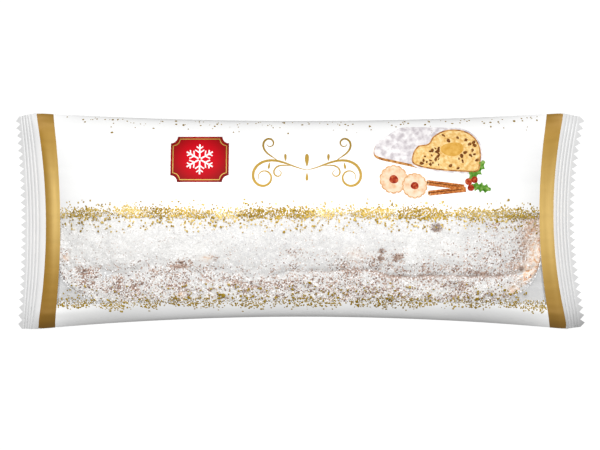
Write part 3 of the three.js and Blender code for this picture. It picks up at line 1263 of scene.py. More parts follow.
def chip_template():
    """A flat six-sided chip of radius 1 and height 1, standing on z = 0."""
    rim = pointing(np.arange(CHIP_SIDES) * 2 * math.pi / CHIP_SIDES)
    low = np.column_stack([rim, np.zeros(CHIP_SIDES)])
    high = np.column_stack([rim * CHIP_TOP, np.ones(CHIP_SIDES)])
    faces = [tuple(range(CHIP_SIDES))[::-1], tuple(range(CHIP_SIDES, 2 * CHIP_SIDES))]
    for i in range(CHIP_SIDES):
        j = (i + 1) % CHIP_SIDES
        faces.append((i, j, j + CHIP_SIDES, i + CHIP_SIDES))
    return np.vstack([low, high]), faces


def axes_on(normals, spins):
    """For each normal, two directions along the surface, turned by a spin, and the normal."""
    across = unit(np.cross(normals, np.column_stack([pointing(spins), np.zeros(len(spins))])))
    ahead = np.cross(across, normals)
    return np.stack([ahead, across, normals], axis=1)


def scatter(name, template, centres, normals, sizes, spins, tones):
    """Joins one copy of the template per centre. sizes has three columns, one per axis."""
    points, faces = template
    axes = axes_on(normals, spins) * sizes[:, :, None]
    copies = centres[:, None, :] + np.einsum("pk,nkc->npc", points, axes)
    step = len(points)
    firsts = range(0, step * len(centres), step)
    all_faces = [tuple(first + corner for corner in face) for first in firsts for face in faces]
    piece = mesh_piece(name, copies.reshape(-1, 3), all_faces)
    store(piece, "tone", np.repeat(tones, step))
    return piece


# %% [markdown]
# ## Sugar crumbs
#
# Where the film doesn't press on the loaf, loose crumbs of sugar and crust lie on it. They
# are scattered the same way, from a twenty-faced ball, and none is higher than the gap
# between the loaf and the film. At the loaf's corners a line of white crumbs clings to the
# inside of the film along its rim, as a painted highlight where the film folds round it.

# %% Scatter the crumbs
CRUMB_COUNT = 4200
CRUMB_FIELD = ((-154, -55), (150, 8))
CRUMB_RADIUS, CRUMB_VARIETY = 0.36, 0.35
CRUMB_SINK, CRUMB_STRETCH, CRUMB_FLATNESS = 0.35, 0.2, 0.8
BROWN_TONES, WHITE_TONES = (0, 0.5), (0.7, 1)
CRUMB_GAPS = (0.6, 9)
GAP_SHARE = 0.45
CRUST_CRUMBS = 0.3
CLEANER_LIP = (50.0, 90.0), (1.0, 0.4)
LOBE_SKIPS = 0.6
RIM_CRUMBS = 240
RIM_WIDTHS = (8, 52)
RIM_CRUMB_RADIUS, RIM_VARIETY, RIM_SPREAD = 0.3, 0.4, 0.45


def crumb_template():
    deselect_all()
    bpy.ops.mesh.primitive_ico_sphere_add(subdivisions=1, radius=1)
    ball = bpy.context.object
    template = read_points(ball), [tuple(polygon.vertices) for polygon in ball.data.polygons]
    bpy.ops.object.delete()
    return template


def place_crumbs(rng):
    """Centre, normal and radius of each crumb: first those on the loaf, then the rim's."""
    loaf_surface = BVHTree.FromObject(loaf, bpy.context.evaluated_depsgraph_get())
    crumbs = []
    while len(crumbs) < CRUMB_COUNT:
        x, y = rng.uniform(*CRUMB_FIELD)
        point, normal = drop_on(loaf_surface, x, y, 0.0)
        if point is None or (y > crease_y(x) and rng.uniform() < LOBE_SKIPS):
            continue
        gap = film_over(x, y) - FILM_THICKNESS - point[2]
        if CRUMB_GAPS[0] < gap < CRUMB_GAPS[1]:
            radius = CRUMB_RADIUS * math.exp(rng.normal(0, CRUMB_VARIETY))
            radius = min(radius, gap * GAP_SHARE)
            crumbs.append((point + normal * radius * CRUMB_SINK, normal, radius))
    rim_x, rim_w = loaf_plan(np.linspace(0.0, 1.0, PLAN_POINTS))
    at_corner = np.flatnonzero((rim_w > RIM_WIDTHS[0]) & (rim_w < RIM_WIDTHS[1]))
    for i in rng.choice(at_corner, RIM_CRUMBS):
        radius = RIM_CRUMB_RADIUS * math.exp(rng.normal(0, RIM_VARIETY))
        y = rng.normal(-rim_w[i], RIM_SPREAD)
        point, normal = drop_on(web_surface, rim_x[i], y, -FILM_THICKNESS - radius)
        crumbs.append((point, -normal, radius))
    return (np.array(column) for column in zip(*crumbs))


def make_crumbs():
    rng = np.random.default_rng(3)
    centres, normals, radii = place_crumbs(rng)
    count = len(radii)
    sizes = radii[:, None] * np.exp(rng.normal(0, CRUMB_STRETCH, (count, 3)))
    sizes[:, 2] = radii * CRUMB_FLATNESS
    x, y, _ = centres.T
    crust_share = CRUST_CRUMBS * lip_share(x, y) * np.interp(x, *CLEANER_LIP)
    is_crust = rng.uniform(size=count) < crust_share
    brown, white = (rng.uniform(*ends, count) for ends in (BROWN_TONES, WHITE_TONES))
    tones = np.where(is_crust, brown, white)
    # The rim's crumbs are pure white: the painted highlight along the loaf's corners.
    tones[CRUMB_COUNT:] = 1
    spins = rng.uniform(0, 2 * math.pi, count)
    return scatter("sugar_crumbs", crumb_template(), centres, normals, sizes, spins, tones)


def make_crumb_material():
    material, tree = new_material("icing_sugar_and_crust_crumbs")
    shade = multiply_add(tree, noise_at(tree, 0.8), 0.2, stored(tree, "tone"))
    stops = (0.1, "#7d655d"), (0.5, "#b8a297"), (0.72, "#e6e5e4"), (1.0, "#fcfbfb")
    colour = ramp(tree, shade, *stops)
    add_surface(tree, colour, roughness=0.9, IOR=1.45, Specular_IOR_Level=0.2)
    return material


finish_piece(make_crumbs(), make_crumb_material())

# %% Where the specks of a drift fall
DRIFT_HALF_LENGTH = 154.0
CLUSTER_JITTER, CLUSTER_OFFSET = 0.25, 0.3
CLUSTER_TONES = (0.1, 0.95)
# Clusters near the ends are paler, as painted light where the film turns down towards the seals.
END_LIGHT_REACH, PAINTED_END_LIGHT = (120, 150), 0.4
MOST_WEIGHT, WEIGHT_OF_TONE = 1.1, 0.3
TONE_VARIETY, SIZE_VARIETY, STRETCH_VARIETY = 0.12, 0.24, 0.1
SPECK_LIFT = 0.02
LARGE_SPECK = 1.35
BAND_GAP = 0.5


def one_per_cell(x, y, cell):
    """Of places scattered at random, the first in each square cell."""
    cells = np.floor(np.column_stack([x, y]) / cell)
    return np.unique(cells, axis=0, return_index=True)[1]


def drift(rng, count, pitch, gather, least_weight, line_y, spread, stray_share, reach, cell):
    """x, y and tone of the specks of one drift along the film, and whether each is a stray.

    The clusters are a pitch apart, and gather is their spread along the drift, in pitches.
    """
    clusters = int(2 * DRIFT_HALF_LENGTH / pitch)
    cluster_x = np.linspace(-DRIFT_HALF_LENGTH, DRIFT_HALF_LENGTH, clusters)
    cluster_x = cluster_x + rng.normal(0, pitch * CLUSTER_JITTER, clusters)
    cluster_off = rng.normal(0, spread * CLUSTER_OFFSET, clusters)
    # Painted light: paler clusters towards the ends.
    painted_end_light = PAINTED_END_LIGHT * progress(np.abs(cluster_x), *END_LIGHT_REACH)
    cluster_tone = rng.uniform(*CLUSTER_TONES, clusters) + painted_end_light
    weight = rng.uniform(least_weight, MOST_WEIGHT, clusters) - WEIGHT_OF_TONE * cluster_tone
    chosen = rng.choice(clusters, count, p=weight / weight.sum())
    x = cluster_x[chosen] + rng.normal(0, pitch * gather, count)
    off = cluster_off[chosen] + rng.normal(0, spread, count)
    stray = rng.uniform(size=count) < stray_share
    x = np.where(stray, rng.uniform(-DRIFT_HALF_LENGTH, DRIFT_HALF_LENGTH, count), x)
    off = np.where(stray, rng.triangular(reach[0], 0, reach[1], count), off)
    y = line_y(x) + off
    tone = np.clip(cluster_tone[chosen] + rng.normal(0, TONE_VARIETY, count), 0, 1)
    first = one_per_cell(x, y, cell)
    return x[first], y[first], tone[first], stray[first]


def lay_specks(name, rng, x, y, tone, radius, large):
    """Drops each speck on the film and joins them."""
    on_web = np.abs(station_of(x, y / half_width(x, y))) < BAND_START - BAND_GAP
    x, y, tone, large = (values[on_web] for values in (x, y, tone, large))
    dropped = [drop_on(web_surface, *place, SPECK_LIFT) for place in zip(x, y)]
    centres, normals = (np.array(column) for column in zip(*dropped))
    count = len(x)
    size = radius * np.exp(rng.normal(0, SIZE_VARIETY, count)) * np.where(large, LARGE_SPECK, 1)
    stretch = np.exp(rng.normal(0, STRETCH_VARIETY, count))
    sizes = np.column_stack([size * stretch, size / stretch, np.full(count, CHIP_THICKNESS)])
    spins = rng.uniform(0, 2 * math.pi, count)
    return scatter(name, chip_template(), centres, normals, sizes, spins, tone)


# %% Material for gold specks and gold print
def make_gold_ink(name, *stops):
    material, tree = new_material(name)
    mixed = multiply_add(tree, noise_at(tree, 5.0), 0.5, stored(tree, "tone"))
    shade = calculate(tree, "SUBTRACT", mixed, 0.25, clamp=True)
    colour = ramp(tree, shade, *stops)
    add_surface(tree, colour, roughness=0.42, Metallic=0.2, Specular_IOR_Level=0.12)
    return material


glitter_gold = make_gold_ink(
    "gold_glitter_ink", (0.0, "#8d6f12"), (0.45, "#ae8f30"), (1.0, "#dcc177")
)
print("made", glitter_gold.name)

# %% Lay the drifts
UPPER_DRIFT = {
    "count": 7400,
    "pitch": 12.5,
    "gather": 0.36,
    "least_weight": 0.85,
    "line_y": lambda x: WINDOW_BACK - 0.7 + 0.3 * np.sin(x / 21.0),
    "spread": 1.5,
    "stray_share": 0.18,
    "reach": (-13, 9),
    "cell": 0.78,
}
LOWER_DRIFT = {
    "count": 2500,
    "pitch": 14.0,
    "gather": 0.28,
    "least_weight": 0.5,
    "line_y": lambda x: -window_front(x) - 0.4 + 0.5 * np.sin(x / 15.0),
    "spread": 1.6,
    "stray_share": 0.22,
    "reach": (-4, 14),
    "cell": 1.05,
}
EDGE_SPECKS = 130
EDGE_HALF_LENGTH = 152
EDGE_TONES = (0.0, 0.15)
EDGE_INSET, EDGE_SPREAD, EDGE_RADIUS, EDGE_LARGE_SHARE = 1.2, 3.4, 0.46, 0.3
WHITE_DOTS = {"upper": (900, 31), "lower": (1300, 32)}
WHITE_DOT_CELL = 0.75
WHITE_DOT_RADIUS = 0.4
WHITE_REACH, WHITE_OVERLAP = 2.8, 0.2


def lay_drift(name, rng, settings, radius, large_share, darkened=1.0):
    """One drift. Some of the strays on the window are larger specks."""
    x, y, tone, stray = drift(rng, **settings)
    large = stray & (y < 0) & (rng.uniform(size=len(x)) < large_share)
    piece = lay_specks(name, rng, x, y, tone * darkened, radius, large)
    finish_piece(piece, glitter_gold)


def lay_edge_specks(rng):
    """Dark specks along the back edge of the pack."""
    x = rng.uniform(-EDGE_HALF_LENGTH, EDGE_HALF_LENGTH, EDGE_SPECKS)
    inset = EDGE_INSET + np.abs(rng.normal(0, EDGE_SPREAD, EDGE_SPECKS))
    y = half_width(x, np.ones(EDGE_SPECKS)) - inset
    tone = rng.uniform(*EDGE_TONES, EDGE_SPECKS)
    large = rng.uniform(size=EDGE_SPECKS) < EDGE_LARGE_SHARE
    piece = lay_specks("glitter_edge", rng, x, y, tone, EDGE_RADIUS, large)
    finish_piece(piece, glitter_gold)


def lay_white_dots(edge):
    """Dots of the white ink, scattered from one edge of the print over the window."""
    count, seed = WHITE_DOTS[edge]
    rng = np.random.default_rng(seed)
    x = rng.uniform(-DRIFT_HALF_LENGTH, DRIFT_HALF_LENGTH, count)
    inward = rng.triangular(0, 0, WHITE_REACH, count) - WHITE_OVERLAP
    y = WINDOW_BACK - inward if edge == "upper" else inward - window_front(x)
    first = one_per_cell(x, y, WHITE_DOT_CELL)
    dots = x[first], y[first], np.ones(len(first)), WHITE_DOT_RADIUS, np.zeros(len(first), bool)
    finish_piece(lay_specks(f"white_dots_{edge}", rng, *dots), white_film)


speck_rng = np.random.default_rng(21)
lay_drift("glitter_upper", speck_rng, UPPER_DRIFT, radius=0.5, large_share=0.15)
lay_drift("glitter_lower", speck_rng, LOWER_DRIFT, radius=0.54, large_share=0.12, darkened=0.65)
lay_edge_specks(speck_rng)
lay_white_dots("upper")
lay_white_dots("lower")

# %% [markdown]
# ## Printed fields
#
# The rest of the print is flat shapes of ink: a red plaque with a snowflake, a gold scroll
# and a picture of cut stollen. Each shape is drawn flat as an outline from a formula or a
# few corners, cut into small cells by Bisect so that it can bend, dropped on the film, and
# given the thickness of a coat of ink. Inks that overprint others lie a layer higher.

# %% Lay ink on the film
FIRST_LAYER = 0.06
LAYER_STEP = 0.035
INK_CELL = 2.5


def cut_into_cells(piece):
    points = read_points(piece) / MM
    low, high = points.min(axis=0), points.max(axis=0)
    make_active(piece)
    bpy.ops.object.mode_set(mode="EDIT")
    for axis, direction in enumerate(((1, 0, 0), (0, 1, 0))):
        first = math.ceil(low[axis] / INK_CELL) * INK_CELL
        for place in np.arange(first, high[axis], INK_CELL):
            bpy.ops.mesh.select_all(action="SELECT")
            spot = [place * MM * part for part in direction]
            bpy.ops.mesh.bisect(plane_co=spot, plane_no=direction)
    bpy.ops.object.mode_set(mode="OBJECT")


def lay_ink(name, shapes, material, tone=None):
    """shapes are (points, faces, layer). The layer rides along as z until the drop."""
    points, faces = [], []
    for shape_points, shape_faces, layer in shapes:
        first = sum(len(block) for block in points)
        height = np.full(len(shape_points), layer * LAYER_STEP)
        points.append(np.column_stack([shape_points, height]))
        faces += [tuple(first + corner for corner in face) for face in shape_faces]
    piece = mesh_piece(name, np.vstack(points), faces)
    cut_into_cells(piece)
    flat = read_points(piece) / MM
    laid = [drop_on(web_surface, x, y, FIRST_LAYER + z)[0] for x, y, z in flat]
    place_points(piece, laid)
    thicken(piece, INK_THICKNESS)
    if tone is not None:
        store(piece, "tone", np.full(len(piece.data.vertices), tone))
    finish_piece(piece, material)


def turning(loop):
    """Positive for a closed outline that runs anticlockwise."""
    x, y = loop.T
    return np.sum(x * np.roll(y, -1) - y * np.roll(x, -1))


def direction_along(loop):
    """Unit vectors along a closed outline at its points."""
    return unit(np.roll(loop, -1, axis=0) - np.roll(loop, 1, axis=0))


def filled(loop, layer=0):
    """A closed outline as one face, whichever way it runs."""
    loop = np.asarray(loop, float)
    order = range(len(loop)) if turning(loop) > 0 else range(len(loop))[::-1]
    return loop, [tuple(order)], layer


def ribbon(line, widths, layer=0, closed=False):
    """A stroke of varying width along a line, as a row of faces."""
    line = np.asarray(line, float)
    ahead = direction_along(line) if closed else unit(np.gradient(line, axis=0))
    count = len(line)
    widths = np.broadcast_to(widths, count)
    side = np.column_stack([-ahead[:, 1], ahead[:, 0]]) * widths[:, None] / 2
    faces = [
        (i, count + i, count + (i + 1) % count, (i + 1) % count)
        for i in range(count if closed else count - 1)
    ]
    return np.vstack([line + side, line - side]), faces, layer


# %% [markdown]
# ## Red plaque
#
# The plaque has the hollow corners of an old enamel sign. Its red is brightest in the
# middle, as if lit. A thin gold line runs inside its edge, and a white six-armed snowflake
# stands in the middle: each arm is a bar with two pairs of side bars.

# %% Plaque, rim line and snowflake
PLAQUE_CENTRE = np.array([-63.4, 38.6])
PLAQUE_SIZE = (36.4, 28.6)
CORNER_RADIUS = 4.2
CORNER_STEPS = 9
RIM_INSET = 1.5
RIM_WIDTH = 0.55
SNOW_ARM = (0.8, 9.4)
SNOW_BAR = 0.95
SIDE_BAR = 0.8
SIDE_BARS = ((0.42, 3.4), (0.7, 2.5))
SIDE_ANGLE = math.radians(55)


def plaque_outline(inset):
    """The outline with hollow quarter-circle corners, drawn in by inset."""
    half = np.array([side / 2 - inset for side in PLAQUE_SIZE])
    loop = []
    for quarter, signs in enumerate(((1, 1), (-1, 1), (-1, -1), (1, -1))):
        start = 1.5 * math.pi + quarter * math.pi / 2
        for step in np.linspace(0, 1, CORNER_STEPS):
            loop.append(signs * half + CORNER_RADIUS * pointing(start - step * math.pi / 2))
    return np.array(loop) + PLAQUE_CENTRE


def bar(start, end, width):
    return ribbon(np.linspace(start, end, 4), width, layer=1)


def snowflake():
    shapes = []
    for arm in range(6):
        turn = math.radians(90 + 60 * arm)
        ends = [PLAQUE_CENTRE + reach * pointing(turn) for reach in SNOW_ARM]
        shapes.append(bar(*ends, SNOW_BAR))
        for share, length in SIDE_BARS:
            root = PLAQUE_CENTRE + share * SNOW_ARM[1] * pointing(turn)
            for side in (-1, 1):
                tip = root + length * pointing(turn + side * SIDE_ANGLE)
                shapes.append(bar(root, tip, SNOW_BAR * SIDE_BAR))
    return shapes


# %% Inks for the plaque
PLAQUE_OVAL = 1.15
RED_REACH = (4 * MM, 22 * MM)


def make_plaque_red():
    material, tree = new_material("red_ink_on_polypropylene")
    inputs = {0: own_place(tree), 1: (1, PLAQUE_OVAL, 0)}
    flat = add_node(tree, "VectorMath", inputs, operation="MULTIPLY")
    centre = (PLAQUE_CENTRE[0] * MM, PLAQUE_CENTRE[1] * MM * PLAQUE_OVAL, 0)
    away = add_node(tree, "VectorMath", {0: flat, 1: centre}, operation="DISTANCE")
    share = remap(tree, away.outputs["Value"], start=RED_REACH)
    red = ramp(tree, share, (0.0, "#d80a20"), (0.4, "#bc0b1a"), (1.0, "#661410"))
    add_surface(tree, red, roughness=0.45, IOR=1.49, Specular_IOR_Level=0.04)
    return material


def make_ink(name, lump, *stops):
    """Printing ink whose shade changes in lumps of a size in mm, as a screened picture's does."""
    material, tree = new_material(name)
    colour = ramp(tree, noise_at(tree, lump, detail=3.0), *stops)
    add_surface(tree, colour, roughness=0.5, IOR=1.49, Specular_IOR_Level=0.04)
    return material


gold_print_ink = make_gold_ink(
    "gold_print_ink", (0.0, "#866a1c"), (0.5, "#a68636"), (1.0, "#ccae5e")
)
snow_ink = make_ink("white_ink", 4.0, (0.3, "#f4f2f0"), (0.7, "#ffffff"))

# %% Print the plaque
lay_ink("red_plaque", [filled(plaque_outline(0))], make_plaque_red())
rim = ribbon(plaque_outline(RIM_INSET), RIM_WIDTH, layer=1, closed=True)
lay_ink("plaque_rim_line", [rim], gold_print_ink, tone=0.7)
lay_ink("plaque_snowflake", snowflake(), snow_ink)

# %% [markdown]
# ## Gold scroll
#
# Scrollwork is drawn with curves that bend ever more tightly, like a spring let go. Such a
# curve turns by a number of degrees per millimetre that changes evenly along it. One main
# curve, two branches and a few drops make the right half, and the left is its mirror.

# %% Curves of the scroll
SCROLL_CENTRE = np.array([3.5, 37.5])
MAIN_START = (0.0, -5.5)
MAIN_CURVE = (7.0, 72.0, 2.7, -16.2)
MAIN_WIDTH = 1.7
BRANCHES = ((0.27, 34.0, 31.0, -5.0, 31.0, 1.25), (0.14, -26.0, 23.0, 5.5, -36.0, 1.0))
DROPS = ((0.2, 70.0, 4.6, 1.5), (0.34, -75.0, 4.2, 1.3))
DROP_LIFT = 1.2
MIDDLE_DROPS = (((0, -3.4), 90.0, 8.0, 2.4), ((0, -7.4), -90.0, 5.0, 1.6))
SCROLL_STEPS = 80
PEN_TIP = 0.28
PEN_POWER = 0.9


def curl(start, heading, length, first_turn, last_turn):
    """A curve whose turning changes evenly. Headings in degrees, turning in degrees per mm."""
    along = np.linspace(0, length, SCROLL_STEPS + 1)
    turned = first_turn * along + (last_turn - first_turn) * along**2 / (2 * length)
    angle = np.radians(heading + turned)
    middle = (angle[:-1] + angle[1:]) / 2
    moves = pointing(middle) * (length / SCROLL_STEPS)
    return np.array(start) + np.vstack([[0, 0], np.cumsum(moves, axis=0)])


def swelling(count, width):
    """Widths of a pen stroke: thin at both ends and full between."""
    pressed = np.sin(math.pi * np.linspace(0, 1, count)) ** PEN_POWER
    return PEN_TIP + (width - PEN_TIP) * pressed


def mirrored(along, half):
    """A closed outline from the heights of its upper half over the line y = 0."""
    upper = np.column_stack([along, half])
    return np.vstack([upper, upper[-2:0:-1] * (1, -1)])


def placed(loop, centre, turn, scale=1.0):
    """A loop scaled, turned by degrees and moved to its centre."""
    cos, sin = pointing(math.radians(turn))
    return np.asarray(loop) * scale @ np.array([[cos, sin], [-sin, cos]]) + np.array(centre)


def drop_outline(point, heading, length, width):
    """A teardrop, sharp at its point and round at its far end."""
    along = np.linspace(0, 1, 15)
    half = width * np.sqrt(along * (1 - along)) * (0.6 + 0.8 * along)
    return placed(mirrored(along * length, half), point, heading)


def place_on(line, share):
    """The point at a share of a line, and the line's heading there in degrees."""
    i = int(share * (len(line) - 1))
    ahead = line[i + 1] - line[i]
    return line[i], math.degrees(math.atan2(ahead[1], ahead[0]))


def scroll_shapes():
    main = curl(MAIN_START, *MAIN_CURVE)
    lines = [(main, MAIN_WIDTH)]
    for share, turn, length, first, last, width in BRANCHES:
        root, heading = place_on(main, share)
        lines.append((curl(root, heading + turn, length, first, last), width))
    drops = []
    for share, turn, length, width in DROPS:
        root, heading = place_on(main, share)
        root = root + DROP_LIFT * pointing(math.radians(heading + math.copysign(90, turn)))
        drops.append(drop_outline(root, heading + turn, length, width))
    shapes = []
    for mirror in ((1, 1), (-1, 1)):
        for line, width in lines:
            shapes.append(ribbon(line * mirror + SCROLL_CENTRE, swelling(len(line), width)))
        shapes += [filled(outline * mirror + SCROLL_CENTRE) for outline in drops]
    return shapes + [filled(drop_outline(*drop) + SCROLL_CENTRE) for drop in MIDDLE_DROPS]


lay_ink("gold_scroll", scroll_shapes(), gold_print_ink, tone=0.4)

# %% [markdown]
# ## Picture of a cut loaf
#
# The picture is built like a paper collage: fields of ink lie on each other. A cut loaf
# shows its face of crumb, marzipan and raisins; round biscuits, cinnamon sticks and a sprig
# of holly lie before it. Each thing is a few outlines by formula, and each ink is mottled
# in lumps a few millimetres wide, as a printed picture is.

# %% Outlines for the picture
SLICE_CORNERS = (
    (-19, -10.5), (-20, -4.5), (-17, 1), (-11.5, 2.8), (-9, 7), (-2.5, 11.3), (7, 12.4),
    (14.5, 9.3), (18.8, 3), (19.6, -5.5), (17.8, -11.6), (8, -12.8), (-9, -12.8),
)  # fmt: skip


def smooth_loop(corners, steps=5):
    """A closed curve through its corners, by the Catmull-Rom formula."""
    p = np.asarray(corners, float)
    before, after, beyond = np.roll(p, 1, 0), np.roll(p, -1, 0), np.roll(p, -2, 0)
    pieces = []
    for t in np.arange(steps) / steps:
        square = (2 * before - 5 * p + 4 * after - beyond) * t**2
        cube = (3 * p - before - 3 * after + beyond) * t**3
        pieces.append((2 * p + (after - before) * t + square + cube) / 2)
    return np.stack(pieces, axis=1).reshape(-1, 2)


def drawn_in(loop, amount):
    """A loop moved inwards by an amount."""
    ahead = direction_along(loop)
    inward = np.column_stack([-ahead[:, 1], ahead[:, 0]])
    return loop + inward * amount * np.sign(turning(loop))


def oval(centre, length, width, turn=0.0, steps=16, uneven=0.0, rng=None):
    """An oval, with a slightly uneven edge where it is asked for."""
    angle = np.arange(steps) * 2 * math.pi / steps
    loop = pointing(angle) * (length, width) / 2
    if uneven:
        first, second = rng.uniform(0, 6, 2)
        wobble = 1 + uneven * (np.sin(2 * angle + first) + np.sin(3 * angle + second))
        loop = loop * wobble[:, None]
    return placed(loop, centre, turn)


def is_inside(loop, x, y):
    """Counts how often a ray from the point crosses the loop."""
    x1, y1 = loop.T
    x2, y2 = np.roll(loop, -1, axis=0).T
    spans = (y1 > y) != (y2 > y)
    crossing = x1 + (y - y1) / np.where(y2 == y1, 1, y2 - y1) * (x2 - x1)
    return int(np.sum(spans & (x < crossing))) % 2 == 1


# %% Draw the cut loaf
FACE_CENTRE = np.array([91.5, 45.0])
FACE_TURN = -5.0
FACE_SCALE = 1.13
BODY_REACH = np.array([-27.0, 3.0])
FAR_SCALE = 0.82
SUGAR_RIM = 1.0
CRUST_RIM = 0.9
COAT_INSET, COAT_SHIFT = 0.8, (-0.4, 0.9)
CORE_CENTRE = FACE_CENTRE + (3.0, 0.0)
CORE_SIZE = (14.0, 9.0)
CORE_TURN = 8
CORE_MARGIN = 2.5
RAISIN_FIELD = ((-20, -13), (20, 13))
FACE_RAISINS = 40
RAISIN_MARGIN = 1.2
RAISIN_LENGTHS, RAISIN_SLIMNESS = (1.5, 3.3), (0.5, 0.8)


def cut_loaf_shapes(rng):
    outline = smooth_loop(SLICE_CORNERS)
    face = placed(outline, FACE_CENTRE, FACE_TURN, FACE_SCALE)
    far_end = placed(outline, FACE_CENTRE + BODY_REACH, FACE_TURN, FACE_SCALE * FAR_SCALE)
    both = np.vstack([face, far_end])
    body = both[convex_hull_2d([tuple(point) for point in both])]
    core = oval(CORE_CENTRE, *CORE_SIZE, CORE_TURN, 24, 0.05, rng)
    keep_off = oval(CORE_CENTRE, *np.add(CORE_SIZE, CORE_MARGIN), CORE_TURN)
    room = drawn_in(face, SUGAR_RIM + CRUST_RIM + RAISIN_MARGIN)
    raisin_loops = []
    while len(raisin_loops) < FACE_RAISINS:
        x, y = FACE_CENTRE + FACE_SCALE * rng.uniform(*RAISIN_FIELD)
        if is_inside(room, x, y) and not is_inside(keep_off, x, y):
            length = rng.uniform(*RAISIN_LENGTHS)
            width = length * rng.uniform(*RAISIN_SLIMNESS)
            turn = rng.uniform(0, 180)
            raisin_loops.append(oval((x, y), length, width, turn, 8, 0.1, rng))
    return {
        "crust": [filled(body), filled(drawn_in(face, SUGAR_RIM), 3)],
        "sugar": [filled(drawn_in(body, COAT_INSET) + COAT_SHIFT, 1), filled(face, 2)],
        "crumb": [filled(drawn_in(face, SUGAR_RIM + CRUST_RIM), 4)],
        "core": [filled(core, 5)],
        "raisins": [filled(loop, 5) for loop in raisin_loops],
    }


# %% Draw what lies before it
BISCUITS = (((57.5, 26.0), 9.0, 3), ((70.5, 22.0), 8.0, 6))
SCALLOPS = 14
SCALLOP_DEPTH = 0.08
BISCUIT_RIM = 0.8
JAM_SIZE = np.array([0.62, 0.6])
STICKS = (((90.0, 22.5), 23.0, 3.4, -7.0, 3), ((91.0, 18.6), 23.0, 3.2, 6.0, 6))
STICK_POINTS = 9
HOLLY_LEAVES = (((109.5, 31.5), 16.0, 8.0, 52.0), ((112.0, 21.0), 13.0, 7.0, -12.0))
HOLLY_SPIKES = 4
BERRIES = (((104.2, 24.6), 4.4), ((108.0, 25.8), 4.2), ((105.6, 20.8), 4.2))


def scalloped(centre, radius):
    angle = np.arange(6 * SCALLOPS) * 2 * math.pi / (6 * SCALLOPS)
    hollow = 1 - np.sqrt(np.abs(np.sin(angle * SCALLOPS / 2)))
    reach = radius * (1 - SCALLOP_DEPTH * hollow)
    return pointing(angle) * reach[:, None] + np.array(centre)


def holly_loop(centre, length, width, turn):
    """Half-width swells and ends in a spike between every two hollows."""
    along = np.linspace(-1, 1, 8 * HOLLY_SPIKES + 1)
    hollow = np.abs(np.sin(math.pi * HOLLY_SPIKES * (along + 1) / 2))
    half = width / 2 * np.sqrt(1 - along**2) * (1 - 0.5 * hollow)
    return placed(mirrored(along * length / 2, half), centre, turn)


def still_life_shapes(rng):
    fields = {kind: [] for kind in ("biscuit_edge", "biscuit", "berry", "stick", "stick_line")}
    for centre, radius, layer in BISCUITS:
        jam = oval(centre, *(radius * JAM_SIZE), 0, 16, 0.03, rng)
        fields["biscuit_edge"].append(filled(scalloped(centre, radius), layer))
        fields["biscuit"].append(filled(scalloped(centre, radius - BISCUIT_RIM), layer + 1))
        fields["berry"].append(filled(jam, layer + 2))
    for centre, length, width, turn, layer in STICKS:
        along = np.linspace(-0.5, 0.5, STICK_POINTS) * length
        line = placed(np.column_stack([along, np.zeros(STICK_POINTS)]), centre, turn)
        fields["stick"].append(ribbon(line, width, layer))
        fields["stick_line"].append(ribbon(line[:-1] + (0, 0.25), 0.5, layer + 1))
        fields["biscuit_edge"].append(filled(oval(line[0], 2.0, width, turn), layer + 1))
        fields["stick_line"].append(filled(oval(line[0], 1.0, width * 0.5, turn), layer + 2))
    fields["leaves"] = [filled(holly_loop(*leaf), 3) for leaf in HOLLY_LEAVES]
    for centre, size in BERRIES:
        fields["berry"].append(filled(oval(centre, size, size, 0, 14, 0.02, rng), 4))
    return fields


# %% Inks of the picture
PICTURE_INKS = {
    "crust": (2.2, (0.3, "#7a431a"), (0.5, "#b57a3c"), (0.7, "#d3a061")),
    "sugar": (3.4, (0.35, "#c0b9bd"), (0.5, "#dad5d7"), (0.65, "#efecec")),
    "crumb": (1.9, (0.3, "#d6a55a"), (0.5, "#e8c27e"), (0.7, "#f3dba4")),
    "core": (2.6, (0.3, "#cb963c"), (0.7, "#e2b45e")),
    "raisins": (1.2, (0.3, "#532a12"), (0.5, "#75451d"), (0.7, "#9a6631")),
    "biscuit_edge": (2.0, (0.3, "#c98e55"), (0.7, "#e6bd90")),
    "biscuit": (3.0, (0.3, "#e0b58d"), (0.5, "#efd0b0"), (0.7, "#f6dfc9")),
    "berry": (1.8, (0.3, "#74150a"), (0.5, "#a03018"), (0.7, "#c86a40")),
    "stick": (1.3, (0.3, "#8a4316"), (0.5, "#b96a2e"), (0.7, "#d99558")),
    "stick_line": (1.0, (0.3, "#4f2410"), (0.7, "#6d3616")),
    "leaves": (2.5, (0.3, "#2f6a10"), (0.5, "#5c8f32"), (0.7, "#93b560")),
}

picture_rng = np.random.default_rng(8)
picture_fields = {**cut_loaf_shapes(picture_rng), **still_life_shapes(picture_rng)}
for name, shapes in picture_fields.items():
    lay_ink(f"picture_{name}", shapes, make_ink(f"{name}_ink", *PICTURE_INKS[name]))


# %% [markdown]
# ## Floor, light and camera
#
# The pack lies on a glowing pale table, as packs are shot for a catalogue. Its light comes
# up under the rounded sides, so they stay light grey, and a big soft box above, moved a
# little towards the printed side, makes the top white and that side paler than the other.

# %% Floor
FLOOR_HALF_SIZE = 2500.0
FLOOR_DEPTH = 0.2
FLOOR_GLOW = 0.36


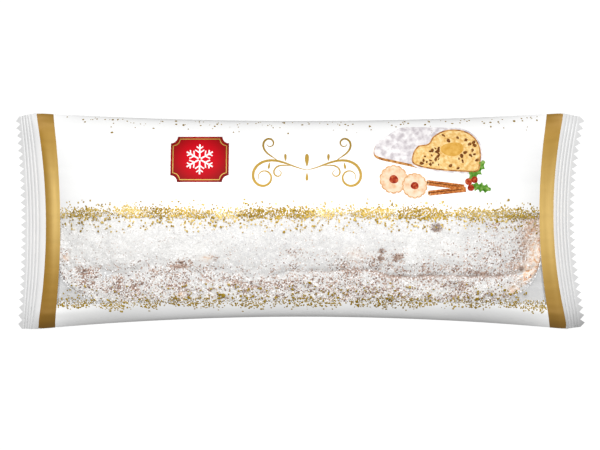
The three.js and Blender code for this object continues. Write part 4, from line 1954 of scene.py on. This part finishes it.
def make_glowing_table():
    """Pure white to the camera, a softer glow to the pack, and clear from below."""
    material, tree = new_material("glowing_table")
    seen = add_node(tree, "LightPath").outputs["Is Camera Ray"]
    strength = remap(tree, seen, to=(FLOOR_GLOW, 1.0))
    glow = add_node(tree, "Emission", {"Color": linear("#ffffff"), "Strength": strength})
    matt = add_node(tree, "BsdfDiffuse", {"Color": (0.05, 0.05, 0.05, 1)})
    lit = add_node(tree, "AddShader", {0: glow, 1: matt})
    below = add_node(tree, "NewGeometry").outputs["Backfacing"]
    both = add_node(
        tree, "MixShader", {0: below, 1: lit, 2: add_node(tree, "BsdfTransparent")}
    )
    add_node(tree, "OutputMaterial", {"Surface": both})
    return material


deselect_all()
bpy.ops.mesh.primitive_plane_add(size=2 * FLOOR_HALF_SIZE * MM)
floor = bpy.context.object
floor.name = "floor"
place_points(floor, read_points(floor) / MM - (0, 0, FLOOR_DEPTH))
floor.data.materials.append(make_glowing_table())
print("the floor lies", FLOOR_DEPTH, "mm under the pack")

# %% Lights
SOFTBOX_SIZE = 1.1
SOFTBOX_HEIGHT = 1.6
SOFTBOX_SHIFT = 0.33
SOFTBOX_POWER = 33.0
SKY_LIGHT, SKY_SEEN = 0.12, 0.95


def make_softbox():
    light = bpy.data.lights.new("softbox", "AREA")
    light.shape = "SQUARE"
    light.size = SOFTBOX_SIZE
    light.energy = SOFTBOX_POWER
    softbox = bpy.data.objects.new("softbox", light)
    bpy.context.collection.objects.link(softbox)
    softbox.location = (0, SOFTBOX_SHIFT, SOFTBOX_HEIGHT)
    softbox.rotation_euler = (-math.atan2(SOFTBOX_SHIFT, SOFTBOX_HEIGHT), 0, 0)


def make_sky():
    world = bpy.data.worlds.new("studio")
    world.use_nodes = True
    tree = world.node_tree
    tree.nodes.clear()
    seen = add_node(tree, "LightPath").outputs["Is Camera Ray"]
    strength = remap(tree, seen, to=(SKY_LIGHT, SKY_SEEN))
    sky = add_node(tree, "Background", {"Color": (1, 1, 1, 1), "Strength": strength})
    add_node(tree, "OutputWorld", {"Surface": sky})
    bpy.context.scene.world = world


make_softbox()
make_sky()
bpy.context.scene.view_settings.view_transform = "Standard"
print("lit by a softbox of", SOFTBOX_POWER, "W")

# %% Camera
CAMERA_PLACE = (-0.82, -2.4, 1181.0)

lens = bpy.data.cameras.new("camera")
lens.lens = 110.0
lens.sensor_width = 36.0
lens.clip_end = 20.0
camera = bpy.data.objects.new("camera", lens)
bpy.context.collection.objects.link(camera)
camera.location = [place * MM for place in CAMERA_PLACE]
bpy.context.scene.camera = camera
print("the camera looks straight down from", CAMERA_PLACE[2], "mm")
